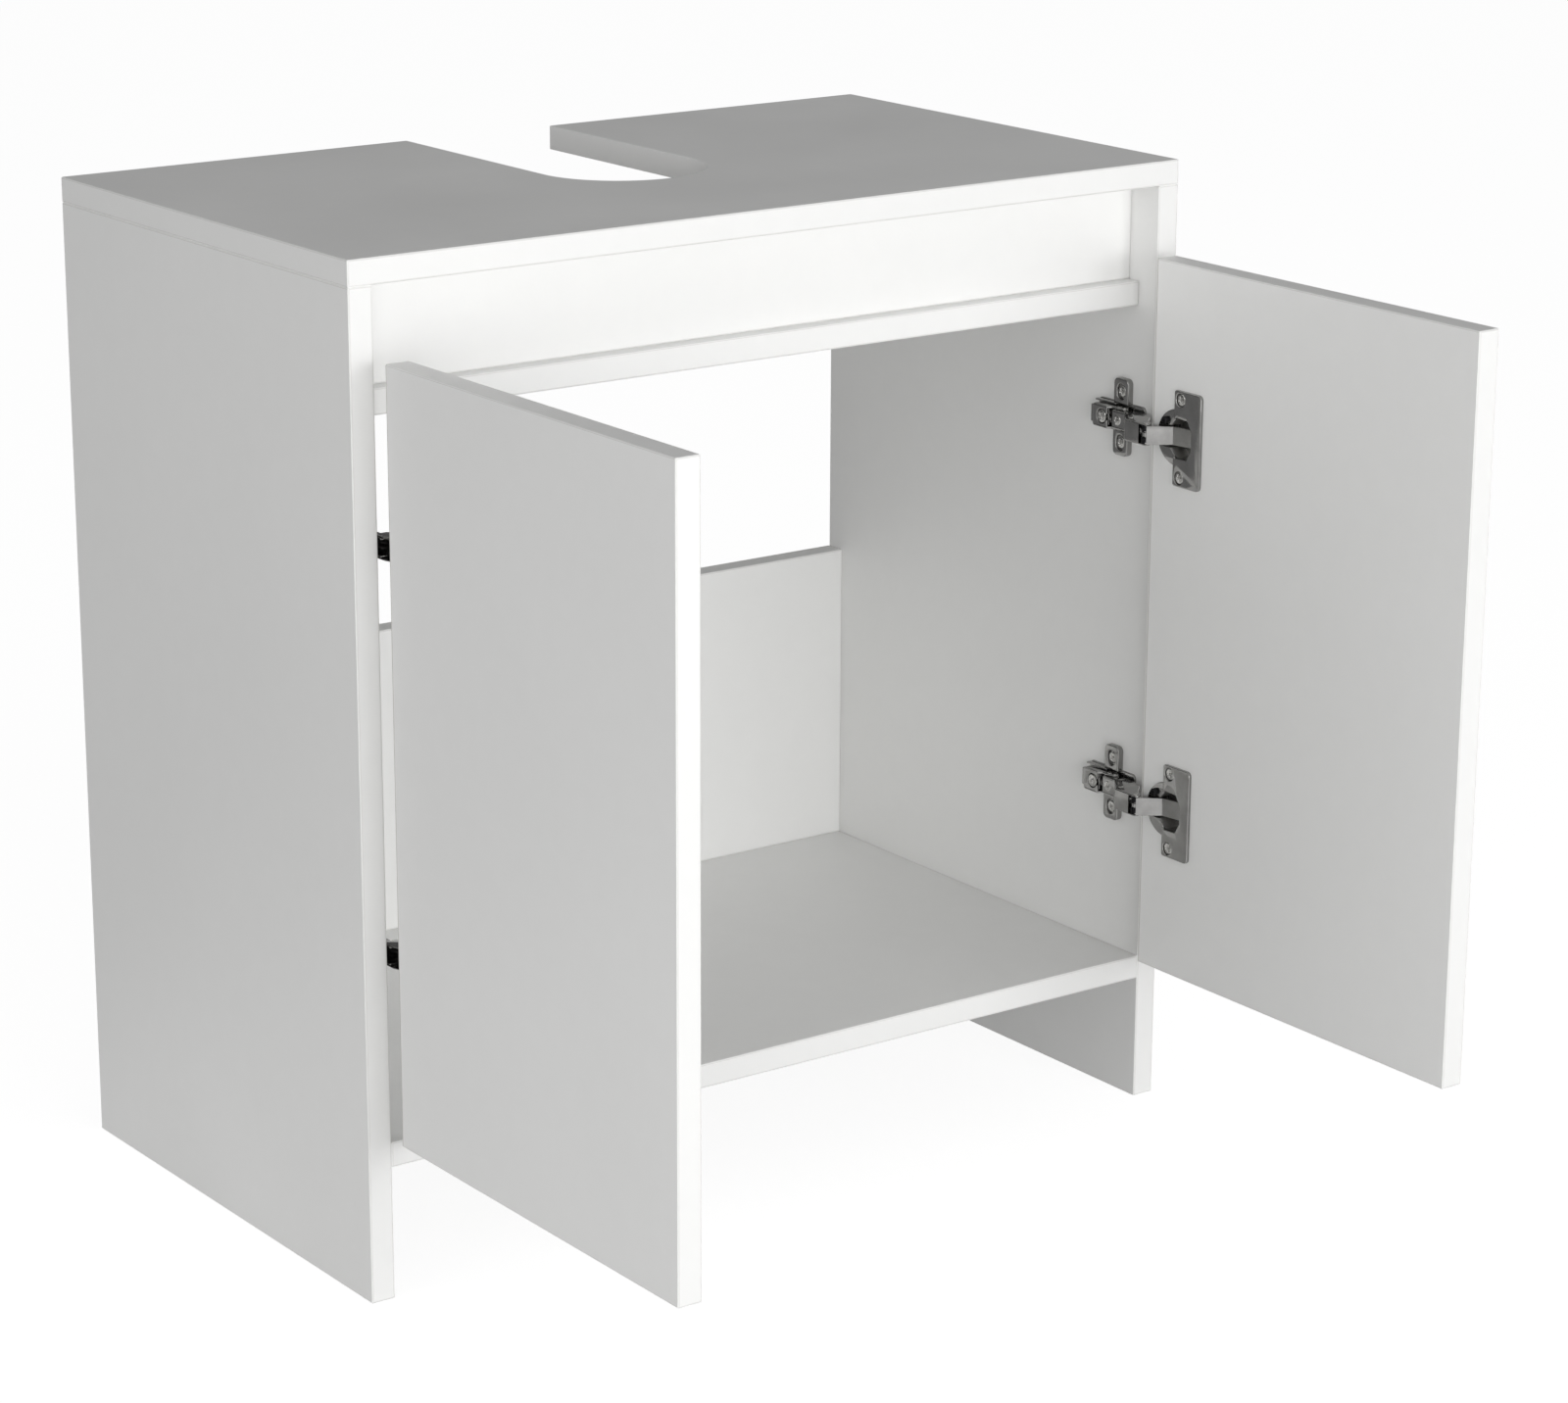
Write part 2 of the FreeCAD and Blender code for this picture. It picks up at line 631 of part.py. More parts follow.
def hinge_cup(body):
    """The cup let into the door, with its rim, screw strip and hollow."""
    shell = ring((CUP_AXIS, "0"), "(dims.bore_diameter / 2 - dims.cup_play)", CUP_FLATS)
    wall_shape(body, "Pad", shell, "%s - dims.rim_thickness" % DOOR_FACE,
               "dims.cup_depth + dims.rim_thickness", "along")
    strip = rounded(("dims.open_edge - dims.strip_far", "-dims.strip_half"),
                    ("dims.open_edge - dims.strip_near", "dims.strip_half"),
                    "dims.corner_round", 2)
    wall_shape(body, "Pad", strip, DOOR_FACE, "dims.strip_thickness", "against")
    hollow = rounded(("dims.open_edge - dims.hollow_far", "-dims.hollow_half"),
                     ("dims.open_edge - dims.hollow_near", "dims.hollow_half"),
                     "dims.hollow_round", 2)
    wall_shape(body, "Pocket", hollow, STRIP_FACE, "dims.hollow_depth + dims.strip_thickness",
               "along")
    pin_holes(body, ("outer_cup", "inner_cup"), PIN_HOLE, "(dims.cup_pin_half + dims.fit)")
    for way in (-1, 1):
        centre = (CUP_SCREW_LINE, "%+g * dims.cup_screw_spacing" % (way / 2))
        shank = ring(centre, "(dims.screw_radius + dims.shank_play)", SHANK_FLATS)
        wall_shape(body, "Pocket", shank, DOOR_FACE, "dims.strip_thickness", "against")
        head = ring(centre, "(dims.screw_head + dims.head_play)")
        wall_shape(body, "Pocket", head, STRIP_FACE, "dims.screw_head_depth", "along")


def pins(label, sides, pivots, half, flats=0):
    """Plain pins through named pivots of the hinges on the given sides."""
    items = []
    for side in sides:
        for height in HINGE_HEIGHT.values():
            for pivot in pivots:
                x, y = PIVOTS[pivot]
                base = ("%+d * (%s + %s)" % (SIDES[side], INNER, x), "%s + %s" % (FRONT, y),
                        "%s - %s" % (height, half))
                items.append(rod("dims.pin_radius", "2 * %s" % half, base, flats=flats))
    return group(label, items)


def screws(label, sides, across, along, spacing, length):
    """Flat-headed screws driven outwards along X, in pairs at every hinge."""
    items = []
    for side in sides:
        hand = SIDES[side]
        turn = ALONG_X if hand > 0 else AGAINST_X
        for height in HINGE_HEIGHT.values():
            for way in (-1, 1):
                base = ("%+d * (%s + %s)" % (hand, INNER, across), "%s + %s" % (FRONT, along),
                        "%s %+g * %s" % (height, way / 2, spacing))
                items.append(rod("dims.screw_head", "dims.screw_head_depth", base, turn))
                items.append(rod("dims.screw_radius", length, base, turn, SHANK_FLATS))
    return group(label, items)


def adjusters(label, sides, along, head):
    """Round-headed adjusting screws in the webs of the hinges."""
    items = []
    for side in sides:
        hand = SIDES[side]
        turn = ALONG_X if hand > 0 else AGAINST_X
        for height in HINGE_HEIGHT.values():
            base = ("%+d * (%s - dims.web_face)" % (hand, INNER), "%s + %s" % (FRONT, along),
                    height)
            raised = ("%s - %+d * dims.adjuster_rise" % (base[0], hand),) + base[1:]
            items.append(rod(head, "dims.adjuster_rise", raised, turn))
            items.append(rod("dims.adjuster_radius", "dims.adjuster_length", base, turn,
                             SHANK_FLATS))
    return group(label, items)


# ---------------------------------------------------------------- springs

def coil_point(angle):
    """A point of the coil's centre line and the wire's heading there."""
    radius = value("dims.coil_radius")
    climb = value("dims.coil_pitch") / (2 * math.pi)
    foot = Vector(value("dims.outer_x"), value("dims.outer_y"), value("dims.coil_start"))
    arm = Vector(radius * math.cos(angle), radius * math.sin(angle), climb * (angle - math.pi))
    heading = Vector(-radius * math.sin(angle), radius * math.cos(angle), climb)
    return foot + arm, heading.normalize()


def bent_between(start, corner, end):
    """The arc that touches two equal lines meeting at a corner."""
    middle = (start + end) * 0.5
    half_chord = (end - start).Length / 2
    rise = (corner - middle).Length
    share = half_chord * math.tan(math.atan2(rise, half_chord) / 2) / rise
    return Part.Arc(start, middle + (corner - middle) * share, end).toShape()


def half_turn(start, start_heading, end, end_heading):
    """Two arcs that join two points and keep the wire's heading at both."""
    gap = end - start
    both = start_heading + end_heading
    turn = 2 * (1 - start_heading.dot(end_heading))
    reach = (math.sqrt(gap.dot(both) ** 2 + turn * gap.dot(gap)) - gap.dot(both)) / turn
    first = start + start_heading * reach
    last = end - end_heading * reach
    meeting = (first + last) * 0.5
    return [bent_between(start, first, meeting), bent_between(meeting, last, end)]


def spring_path():
    """The wire's centre line: a leg on the nose's web, the turns and a short end."""
    steps = int(round(2 * value("dims.coil_turns")))
    stations = [coil_point(math.pi * (1 + index)) for index in range(steps + 1)]
    start, heading = stations[0]
    edges = [Part.LineSegment(start - heading * value("dims.coil_leg"), start).toShape()]
    for (start, heading), (end, end_heading) in zip(stations[:-1], stations[1:]):
        edges += half_turn(start, heading, end, end_heading)
    end, heading = stations[-1]
    edges.append(Part.LineSegment(end, end + heading * 2 * value("dims.wire_radius")).toShape())
    return Part.Wire(edges)


def least_gap(path):
    """The least gap between the wire and itself, measured on points of its path."""
    points = path.discretize(Distance=0.1)
    apart = int(math.pi * value("dims.coil_radius") / 0.1)
    nearest = min((first - second).Length for index, first in enumerate(points)
                  for second in points[index + apart:])
    return nearest - 2 * value("dims.wire_radius")


def torsion_springs(side):
    """A pair of coils on the outer pin of each hinge, one each side of its link's eye."""
    path = spring_path()
    start = path.Edges[0].firstVertex().Point
    heading = path.Edges[0].tangentAt(path.Edges[0].FirstParameter)
    across = heading.cross(Vector(0, 0, 1)).normalize()
    upward = across.cross(heading).normalize()
    angles = [math.radians(angle) for angle in range(90, 450, 120)]
    corners = [start + (across * math.cos(angle) + upward * math.sin(angle))
               * value("dims.wire_radius") for angle in angles]
    wire = path.makePipeShell([Part.makePolygon(corners + corners[:1])], True, False)
    pair = [wire, wire.mirror(Vector(0, 0, 0), Vector(0, 0, 1))]
    other_hinge = Vector(0, 0, 2 * value(HINGE_SPREAD))
    item = doc.addObject("Part::Feature", "torsion_springs")
    item.Shape = Part.makeCompound(pair + [coil.translated(other_hinge) for coil in pair])
    place_on_side(item, side, "lower" if SIDES[side] > 0 else "upper")
    return keep(item, "torsion_springs_%s" % side)


# ---------------------------------------------------------------- assembly

HINGE_PIECES = {
    "mounting_plate": mounting_plate,
    "hinge_arm": hinge_arm,
    "hinge_nose": hinge_nose,
    "control_lever": control_lever,
    "outer_link": outer_link,
    "inner_link": inner_link,
    "hinge_cup": hinge_cup,
}

top_panel()
for board_name in BOARDS:
    cross_board(board_name)
dowels()
pins("arm_pins", SIDES, ("swing", "lever_fixed"), "dims.arm_outside")
screws("plate_screws", SIDES, "-dims.wing_thickness", WING_MIDDLE, "dims.plate_screw_spacing",
       "dims.screw_length")
adjusters("depth_screws", SIDES, "dims.depth_screw_y", "dims.depth_screw_head")
for side_name, side_hand in SIDES.items():
    side_panel("side_panel_%s" % side_name, side_hand)
    door("door_%s" % side_name, side_hand)
    screws("cup_screws_%s" % side_name, [side_name], STRIP_FACE, CUP_SCREW_LINE,
           "dims.cup_screw_spacing", "dims.screw_length")
    pins("cup_pins_%s" % side_name, [side_name], ("outer_cup", "inner_cup"), "dims.cup_pin_half",
         PIN_FLATS)
    pins("nose_pins_%s" % side_name, [side_name], ("outer", "inner"), "dims.nose_outside")
    pins("lever_pins_%s" % side_name, [side_name], ("lever_moving",), "dims.bar_half", PIN_FLATS)
    adjusters("nose_screws_%s" % side_name, [side_name], "dims.nose_screw_y",
              "dims.nose_screw_head")
    for hinge_level in HINGE_HEIGHT:
        for piece_kind, piece_maker in HINGE_PIECES.items():
            hinge_piece(piece_kind, side_name, hinge_level, piece_maker)
    torsion_springs(side_name)

doc.recompute()
for item in doc.Objects:
    if "Invalid" in item.State or "Error" in item.State:
        raise RuntimeError("%s (%s) did not compute: %s" % (item.Name, item.Label, item.State))
    if item.TypeId == "PartDesign::Pocket":
        if item.Shape.Volume > item.BaseFeature.Shape.Volume - 0.01:
            raise RuntimeError("%s in %s cuts nothing" % (item.Name, item.getParent().Label))
os.makedirs("parts", exist_ok=True)
for item in subparts:
    if item.Shape.isNull() or not item.Shape.isValid():
        raise RuntimeError("%s has no valid shape" % item.Label)
    item.Shape.exportStep("parts/%s.step" % item.Label)
print("%d sub-parts, least gap in a spring %.2f mm" % (len(subparts), least_gap(spring_path())))
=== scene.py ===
"""A white sink base cabinet with two inset doors on concealed hinges.

Laid out as an add-on: the boards, the hinges and the stage have an operator
each, the looks that a user would change are properties, and main() makes it all.
"""

import json
import math

import bpy
import numpy as np
from bpy.props import FloatProperty, FloatVectorProperty, PointerProperty
from mathutils import Euler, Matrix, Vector
from mathutils.geometry import tessellate_polygon

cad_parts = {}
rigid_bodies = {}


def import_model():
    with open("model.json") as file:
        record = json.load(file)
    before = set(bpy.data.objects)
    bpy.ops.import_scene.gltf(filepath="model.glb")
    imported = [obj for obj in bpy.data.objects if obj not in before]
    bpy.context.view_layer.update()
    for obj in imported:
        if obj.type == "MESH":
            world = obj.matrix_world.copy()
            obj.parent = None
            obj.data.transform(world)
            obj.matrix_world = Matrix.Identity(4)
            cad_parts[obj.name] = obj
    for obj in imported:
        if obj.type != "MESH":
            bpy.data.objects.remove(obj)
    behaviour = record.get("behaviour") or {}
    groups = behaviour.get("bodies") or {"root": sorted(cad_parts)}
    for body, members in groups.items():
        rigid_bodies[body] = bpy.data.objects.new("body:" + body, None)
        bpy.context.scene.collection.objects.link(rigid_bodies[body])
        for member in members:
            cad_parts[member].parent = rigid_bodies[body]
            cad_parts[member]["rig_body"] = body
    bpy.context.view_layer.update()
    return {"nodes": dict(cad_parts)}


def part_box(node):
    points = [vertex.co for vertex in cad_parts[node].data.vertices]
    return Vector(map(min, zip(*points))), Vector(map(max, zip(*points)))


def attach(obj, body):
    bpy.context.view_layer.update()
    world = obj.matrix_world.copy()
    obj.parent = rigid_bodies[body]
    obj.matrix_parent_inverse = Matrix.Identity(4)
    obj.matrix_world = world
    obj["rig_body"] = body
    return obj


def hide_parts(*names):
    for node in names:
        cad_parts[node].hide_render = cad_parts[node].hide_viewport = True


bl_info = {
    "name": "Sink base cabinet",
    "version": (1, 0, 0),
    "blender": (4, 5, 0),
    "location": "View3D > Sidebar > Cabinet",
    "description": "Coated boards, concealed hinges and a studio for a sink base cabinet",
    "category": "Object",
}

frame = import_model()
NODES = frame["nodes"]
MM = 0.001
SIDES = ("left", "right")
LEVELS = ("lower", "upper")

BOARDS = ("side_panel_left", "side_panel_right", "top_panel", "bottom_shelf",
          "back_panel", "fascia_panel", "front_rail")
DOORS = ("door_left", "door_right")

# the fine joint between a board's face and its edging: how far it lies in from the edge, how
# wide it is dark and where it has faded, in metres, then its darkness, depth and colour
EDGING_IN = 0.8 * MM
EDGING_CORE = 0.1 * MM
EDGING_FADE = 0.25 * MM
EDGING_SHADE = 0.3
EDGING_GROOVE = 1.5
EDGING_COLOUR = (0.42, 0.4, 0.36, 1.0)
# painted shade on a door's back edge, for the dark gap beside the side panel, in metres: where it
# begins and is full
PAINTED_GAP_SPAN = (1.3 * MM, 1.0 * MM)
PAINTED_GAP_SHADE = 0.75


# ------------------------------------------------------------ node helpers

def feed(tree, node, inputs):
    """A node's inputs set to values or linked to sockets, by name or number."""
    for key, given in inputs.items():
        if isinstance(given, bpy.types.NodeSocket):
            tree.links.new(given, node.inputs[key])
        else:
            node.inputs[key].default_value = given


def add(tree, kind, inputs=None, **settings):
    """A new shader node with its settings and inputs."""
    node = tree.nodes.new("ShaderNode" + kind)
    for name, setting in settings.items():
        setattr(node, name, setting)
    feed(tree, node, inputs or {})
    return node


def maths(tree, operation, first, second=0.0):
    """The result socket of a Math node."""
    return add(tree, "Math", {0: first, 1: second}, operation=operation).outputs[0]


def remap(tree, socket, low, high, new_low=0.0, new_high=1.0):
    """A value carried from one span to another, and held inside it."""
    given = {"Value": socket, "From Min": low, "From Max": high,
             "To Min": new_low, "To Max": new_high}
    return add(tree, "MapRange", given).outputs["Result"]


def blend_colours(tree, share, first, second):
    """Two colours mixed by a share."""
    node = add(tree, "Mix", {0: share, 6: first, 7: second}, data_type="RGBA")
    return node.outputs[2]


def grey(level):
    """A neutral colour."""
    return (level, level, level, 1.0)


def new_group(name, inputs, outputs):
    """A shader node group with named sockets. Its input and output nodes come back."""
    tree = bpy.data.node_groups.new(name, "ShaderNodeTree")
    kinds = {"value": "NodeSocketFloat", "colour": "NodeSocketColor", "place": "NodeSocketVector"}
    for label, kind, default in inputs:
        socket = tree.interface.new_socket(label, in_out="INPUT", socket_type=kinds[kind])
        socket.default_value = default
    for label, kind in outputs:
        tree.interface.new_socket(label, in_out="OUTPUT", socket_type=kinds[kind])
    return tree, tree.nodes.new("NodeGroupInput").outputs, tree.nodes.new("NodeGroupOutput").inputs


def use_group(tree, group, inputs):
    """A group placed in a material. Its outputs come back."""
    node = tree.nodes.new("ShaderNodeGroup")
    node.node_tree = group
    feed(tree, node, inputs)
    return node.outputs


def new_material(name):
    """An empty material with its Principled shader and Object coordinates."""
    material = bpy.data.materials.new(name)
    material.use_nodes = True
    tree = material.node_tree
    tree.nodes.clear()
    shader = add(tree, "BsdfPrincipled")
    output = add(tree, "OutputMaterial")
    tree.links.new(shader.outputs[0], output.inputs["Surface"])
    place = add(tree, "TexCoord").outputs["Object"]
    return material, tree, shader, place


# ------------------------------------------------------------ shared effects

def shared(name, maker):
    """A shared node group, made the first time that a material asks for it."""
    return bpy.data.node_groups.get(name) or maker(name)


def mottle_group(name):
    """Slow drift of tone: wide noise and a finer one lift and lower a colour."""
    tree, given, out = new_group(
        name, [("Place", "place", (0, 0, 0)), ("Colour", "colour", (1, 1, 1, 1)),
               ("Amount", "value", 0.05), ("Scale", "value", 4.0)], [("Colour", "colour")])
    wide = add(tree, "TexNoise", {"Vector": given["Place"], "Scale": given["Scale"], "Detail": 3.0})
    fine_scale = maths(tree, "MULTIPLY", given["Scale"], 23.0)
    fine = add(tree, "TexNoise", {"Vector": given["Place"], "Scale": fine_scale, "Detail": 5.0})
    both = maths(tree, "ADD", wide.outputs["Fac"], maths(tree, "MULTIPLY", fine.outputs["Fac"], 0.5))
    swing = maths(tree, "MULTIPLY", maths(tree, "SUBTRACT", both, 0.75), given["Amount"])
    factor = maths(tree, "ADD", swing, 1.0)
    scaled = add(tree, "VectorMath", {0: given["Colour"], 3: factor}, operation="SCALE")
    tree.links.new(scaled.outputs[0], out["Colour"])
    return tree


def skin_group(name):
    """The fine press-plate texture of a coated board, as a height and a gloss mask."""
    tree, given, out = new_group(
        name, [("Place", "place", (0, 0, 0)), ("Scale", "value", 700.0)],
        [("Height", "value"), ("Gloss", "value")])
    pebble = add(tree, "TexVoronoi", {"Vector": given["Place"], "Scale": given["Scale"]},
                 feature="SMOOTH_F1")
    grit = add(tree, "TexNoise", {"Vector": given["Place"],
                                  "Scale": maths(tree, "MULTIPLY", given["Scale"], 2.3),
                                  "Detail": 4.0})
    height = maths(tree, "ADD", pebble.outputs["Distance"],
                   maths(tree, "MULTIPLY", grit.outputs["Fac"], 0.6))
    wipe = add(tree, "TexNoise", {"Vector": given["Place"],
                                  "Scale": maths(tree, "MULTIPLY", given["Scale"], 0.012),
                                  "Detail": 4.0})
    tree.links.new(height, out["Height"])
    tree.links.new(wipe.outputs["Fac"], out["Gloss"])
    return tree


def edge_group(name):
    """How near a point is to a box's edges, from its lowest and highest corners.

    On each axis the depth is the smaller of the distances to the two faces. A
    face point has a depth near zero on one axis, so the middle one of the three
    depths is its distance from the nearest edge.
    """
    tree, given, out = new_group(
        name, [("Place", "place", (0, 0, 0)), ("Low", "place", (0, 0, 0)),
               ("High", "place", (1, 1, 1))], [("Distance", "value")])
    above = add(tree, "VectorMath", {0: given["Place"], 1: given["Low"]}, operation="SUBTRACT")
    below = add(tree, "VectorMath", {0: given["High"], 1: given["Place"]}, operation="SUBTRACT")
    depth = add(tree, "VectorMath", {0: above.outputs[0], 1: below.outputs[0]}, operation="MINIMUM")
    split = add(tree, "SeparateXYZ", {0: depth.outputs[0]}).outputs
    low_pair = maths(tree, "MINIMUM", split[0], split[1])
    high_pair = maths(tree, "MAXIMUM", split[0], split[1])
    middle = maths(tree, "MAXIMUM", low_pair, maths(tree, "MINIMUM", high_pair, split[2]))
    tree.links.new(middle, out["Distance"])
    return tree


def plating_group(name):
    """Nickel plating: cloudy tone, fine rolling lines and handling marks."""
    tree, given, out = new_group(
        name, [("Place", "place", (0, 0, 0)), ("Colour", "colour", (0.5, 0.5, 0.5, 1)),
               ("Roughness", "value", 0.25), ("Scale", "value", 120.0)],
        [("Colour", "colour"), ("Roughness", "value"), ("Height", "value")])
    cloud = add(tree, "TexNoise", {"Vector": given["Place"], "Scale": given["Scale"],
                                   "Detail": 4.0})
    stretched = add(tree, "Mapping", {"Vector": given["Place"], "Scale": (60.0, 60.0, 900.0)})
    lines = add(tree, "TexNoise", {"Vector": stretched.outputs[0], "Scale": 12.0, "Detail": 3.0})
    spots = add(tree, "TexNoise", {"Vector": given["Place"],
                                   "Scale": maths(tree, "MULTIPLY", given["Scale"], 14.0),
                                   "Detail": 2.0})
    factor = remap(tree, cloud.outputs["Fac"], 0.3, 0.7, 0.86, 1.08)
    toned = add(tree, "VectorMath", {0: given["Colour"], 3: factor}, operation="SCALE")
    rough = maths(tree, "ADD", given["Roughness"],
                  remap(tree, lines.outputs["Fac"], 0.3, 0.7, -0.03, 0.05))
    height = maths(tree, "ADD", maths(tree, "MULTIPLY", lines.outputs["Fac"], 0.7),
                   maths(tree, "MULTIPLY", spots.outputs["Fac"], 0.3))
    tree.links.new(toned.outputs[0], out["Colour"])
    tree.links.new(rough, out["Roughness"])
    tree.links.new(height, out["Height"])
    return tree


# ------------------------------------------------------------ materials

def coated_board(name, low, high, colour, roughness, painted_gap_shade=0.0):
    """White coated board: drifting tone, a pebbled skin, and a fine edging line.

    A door's back edge, on which it hinges, gets painted shade for the dark gap beside the side
    panel.
    """
    material, tree, shader, place = new_material(name)
    toned = use_group(tree, shared("mottle", mottle_group),
                      {"Place": place, "Colour": colour, "Amount": 0.05, "Scale": 3.0})["Colour"]
    distance = use_group(tree, shared("box_edge", edge_group),
                         {"Place": place, "Low": low, "High": high})["Distance"]
    off_line = maths(tree, "ABSOLUTE", maths(tree, "SUBTRACT", distance, EDGING_IN))
    line = remap(tree, off_line, EDGING_CORE, EDGING_FADE, 1.0, 0.0)
    # painted shade: a door's hinge edge is darkened for the shadow in the gap beside the side panel,
    # on top of the real edging line
    back = add(tree, "SeparateXYZ", {0: place}).outputs[1]
    begin, full = (high[1] - reach for reach in PAINTED_GAP_SPAN)
    painted_gap_mask = remap(tree, back, begin, full, 0.0, painted_gap_shade)
    edging_and_gap_shade = maths(tree, "MAXIMUM", maths(tree, "MULTIPLY", line, EDGING_SHADE), painted_gap_mask)
    darkened = blend_colours(tree, edging_and_gap_shade, toned, EDGING_COLOUR)
    skin = use_group(tree, shared("coated_skin", skin_group), {"Place": place, "Scale": 700.0})
    rough = remap(tree, skin["Gloss"], 0.3, 0.7, roughness - 0.05, roughness + 0.07)
    groove = maths(tree, "MULTIPLY", line, EDGING_GROOVE)
    height = maths(tree, "SUBTRACT", skin["Height"], groove)
    bump = add(tree, "Bump", {"Strength": 0.25, "Distance": 0.00006, "Height": height})
    tree.links.new(darkened, shader.inputs["Base Color"])
    tree.links.new(rough, shader.inputs["Roughness"])
    tree.links.new(bump.outputs[0], shader.inputs["Normal"])
    shader.inputs["IOR"].default_value = 1.48
    return material


def plated_steel(name, colour, roughness):
    """Nickel-plated pressed steel."""
    material, tree, shader, place = new_material(name)
    plating = use_group(tree, shared("plating", plating_group),
                        {"Place": place, "Colour": colour, "Roughness": roughness})
    bump = add(tree, "Bump", {"Strength": 0.3, "Distance": 0.00002, "Height": plating["Height"]})
    tree.links.new(plating["Colour"], shader.inputs["Base Color"])
    tree.links.new(plating["Roughness"], shader.inputs["Roughness"])
    tree.links.new(bump.outputs[0], shader.inputs["Normal"])
    shader.inputs["Metallic"].default_value = 1.0
    return material


def dress(node, material):
    """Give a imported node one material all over."""
    mesh = NODES[node].data
    mesh.materials.clear()
    mesh.materials.append(material)
    mesh.polygons.foreach_set("material_index", np.zeros(len(mesh.polygons), np.int32))


# ------------------------------------------------------------ forms

RIM_STEPS = 4
COIL_COLUMNS = 8
COIL_STEPS = 26


class Shape:
    """Points and faces gathered from simple forms, in millimetres.

    Every face has a tone, which is the number of the material that it wears.
    """

    def __init__(self):
        self.points = np.zeros((0, 3))
        self.quads = np.zeros((0, 4), int)
        self.triangles = np.zeros((0, 3), int)
        self.tones = [np.zeros(0, int), np.zeros(0, int)]

    def take(self, points, quads, triangles, tones=(0, 0)):
        """Add a form's points and faces, with the tones of its quads and triangles."""
        quads = np.asarray(quads, int).reshape(-1, 4)
        triangles = np.asarray(triangles, int).reshape(-1, 3)
        self.quads = np.vstack([self.quads, quads + len(self.points)])
        self.triangles = np.vstack([self.triangles, triangles + len(self.points)])
        self.points = np.vstack([self.points, np.reshape(points, (-1, 3))])
        for kind, faces in enumerate((quads, triangles)):
            worn = np.broadcast_to(tones[kind], len(faces))
            self.tones[kind] = np.concatenate([self.tones[kind], worn])

    def gather(self, other, side, level):
        """Take a hinge's shape to its place in the frame."""
        self.take(stand(other.points, side, level), other.quads, other.triangles, other.tones)


def stand(points, side, level):
    """Points of a hinge in metres of the frame.

    A hinge's own axes start at the side panel's inner face, in the cabinet's
    front plane, at the hinge's height. They run towards the panel, to the back
    and up. The left hinge is the right one turned half round about the second.
    """
    hand = 1.0 if side == "right" else -1.0
    low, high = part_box("side_panel_" + side)
    wing_low, wing_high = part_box("mounting_plate_%s_%s" % (level, side))
    foot = np.array([low[0] if hand > 0 else high[0], low[1], (wing_low[2] + wing_high[2]) / 2])
    return foot + points * MM * (hand, 1.0, hand)


def grid_faces(rows, columns):
    """Quads between the neighbouring rows of a grid whose rows are closed loops."""
    here = np.arange(rows * columns).reshape(rows, columns)
    following = np.roll(here, -1, axis=1)
    quads = np.stack([here[:-1], following[:-1], following[1:], here[1:]], axis=-1)
    return quads.reshape(-1, 4)


def tube_faces(rows, columns):
    """The quads of a tube of rings, and the triangle fans that close its two ends."""
    fan = np.column_stack([np.zeros(columns - 2, int), np.arange(1, columns - 1),
                           np.arange(2, columns)])
    return grid_faces(rows, columns), np.vstack([fan[:, ::-1], fan + columns * (rows - 1)])


def fold(corners, radii, steps):
    """For every corner of an outline, the points of the arc that rounds it off.

    The arc touches the corner's two edges at a distance of its radius over the
    tangent of half the corner's angle. Its middle lies on the halving line, and
    its points are its two end rays blended by sines of the angle left to turn.
    """
    corners = np.asarray(corners, float)
    radius = np.broadcast_to(radii, len(corners)).astype(float)[:, None]
    back = np.roll(corners, 1, axis=0) - corners
    onward = np.roll(corners, -1, axis=0) - corners
    back /= np.linalg.norm(back, axis=1, keepdims=True)
    onward /= np.linalg.norm(onward, axis=1, keepdims=True)
    half = np.arccos(np.clip((back * onward).sum(axis=1), -1, 1))[:, None] / 2
    halving = (back + onward) / np.linalg.norm(back + onward, axis=1, keepdims=True)
    middle = corners + halving * radius / np.sin(half)
    first = corners + back * radius / np.tan(half) - middle
    last = corners + onward * radius / np.tan(half) - middle
    sweep = (np.pi - 2 * half)[:, None]
    share = np.linspace(0, 1, steps + 1)[None, :, None]
    return middle[:, None] + (first[:, None] * np.sin((1 - share) * sweep)
                              + last[:, None] * np.sin(share * sweep)) / np.sin(sweep)


def rounded_loop(corners, radii, steps=5):
    """A closed outline whose corners are arcs."""
    return fold(corners, radii, steps).reshape(-1, 2)


def rounded_path(corners, radii, steps=5):
    """An open line whose inner corners are arcs."""
    corners = np.asarray(corners, float)
    bends = fold(corners, radii, steps)[1:-1].reshape(-1, 2)
    return np.vstack([corners[:1], bends, corners[-1:]])


def arc(centre, radius, start, end, count):
    """Points on an arc, its angles in degrees."""
    angle = np.radians(np.linspace(start, end, count))
    return np.asarray(centre) + radius * np.column_stack([np.cos(angle), np.sin(angle)])


def round_loop(centre, radius, count=36):
    """A full circle."""
    return arc(centre, radius, 0, 360, count + 1)[:-1]


def box_loop(low, high, radii):
    """An upright rectangle with rounded corners."""
    corners = [low, (high[0], low[1]), high, (low[0], high[1])]
    return rounded_loop(corners, radii)


def left_of(steps):
    """Unit vectors to the left of steps in a plane."""
    left = np.column_stack([-steps[:, 1], steps[:, 0]])
    return left / np.linalg.norm(left, axis=1, keepdims=True)


def mitre(before, after):
    """The way to move a corner so that both its edges move by one."""
    return (before + after) / (1 + (before * after).sum(axis=1, keepdims=True))


def inset(loop, distance):
    """A closed outline moved to its left, which is into the material."""
    before = left_of(loop - np.roll(loop, 1, axis=0))
    after = left_of(np.roll(loop, -1, axis=0) - loop)
    return loop + distance * mitre(before, after)


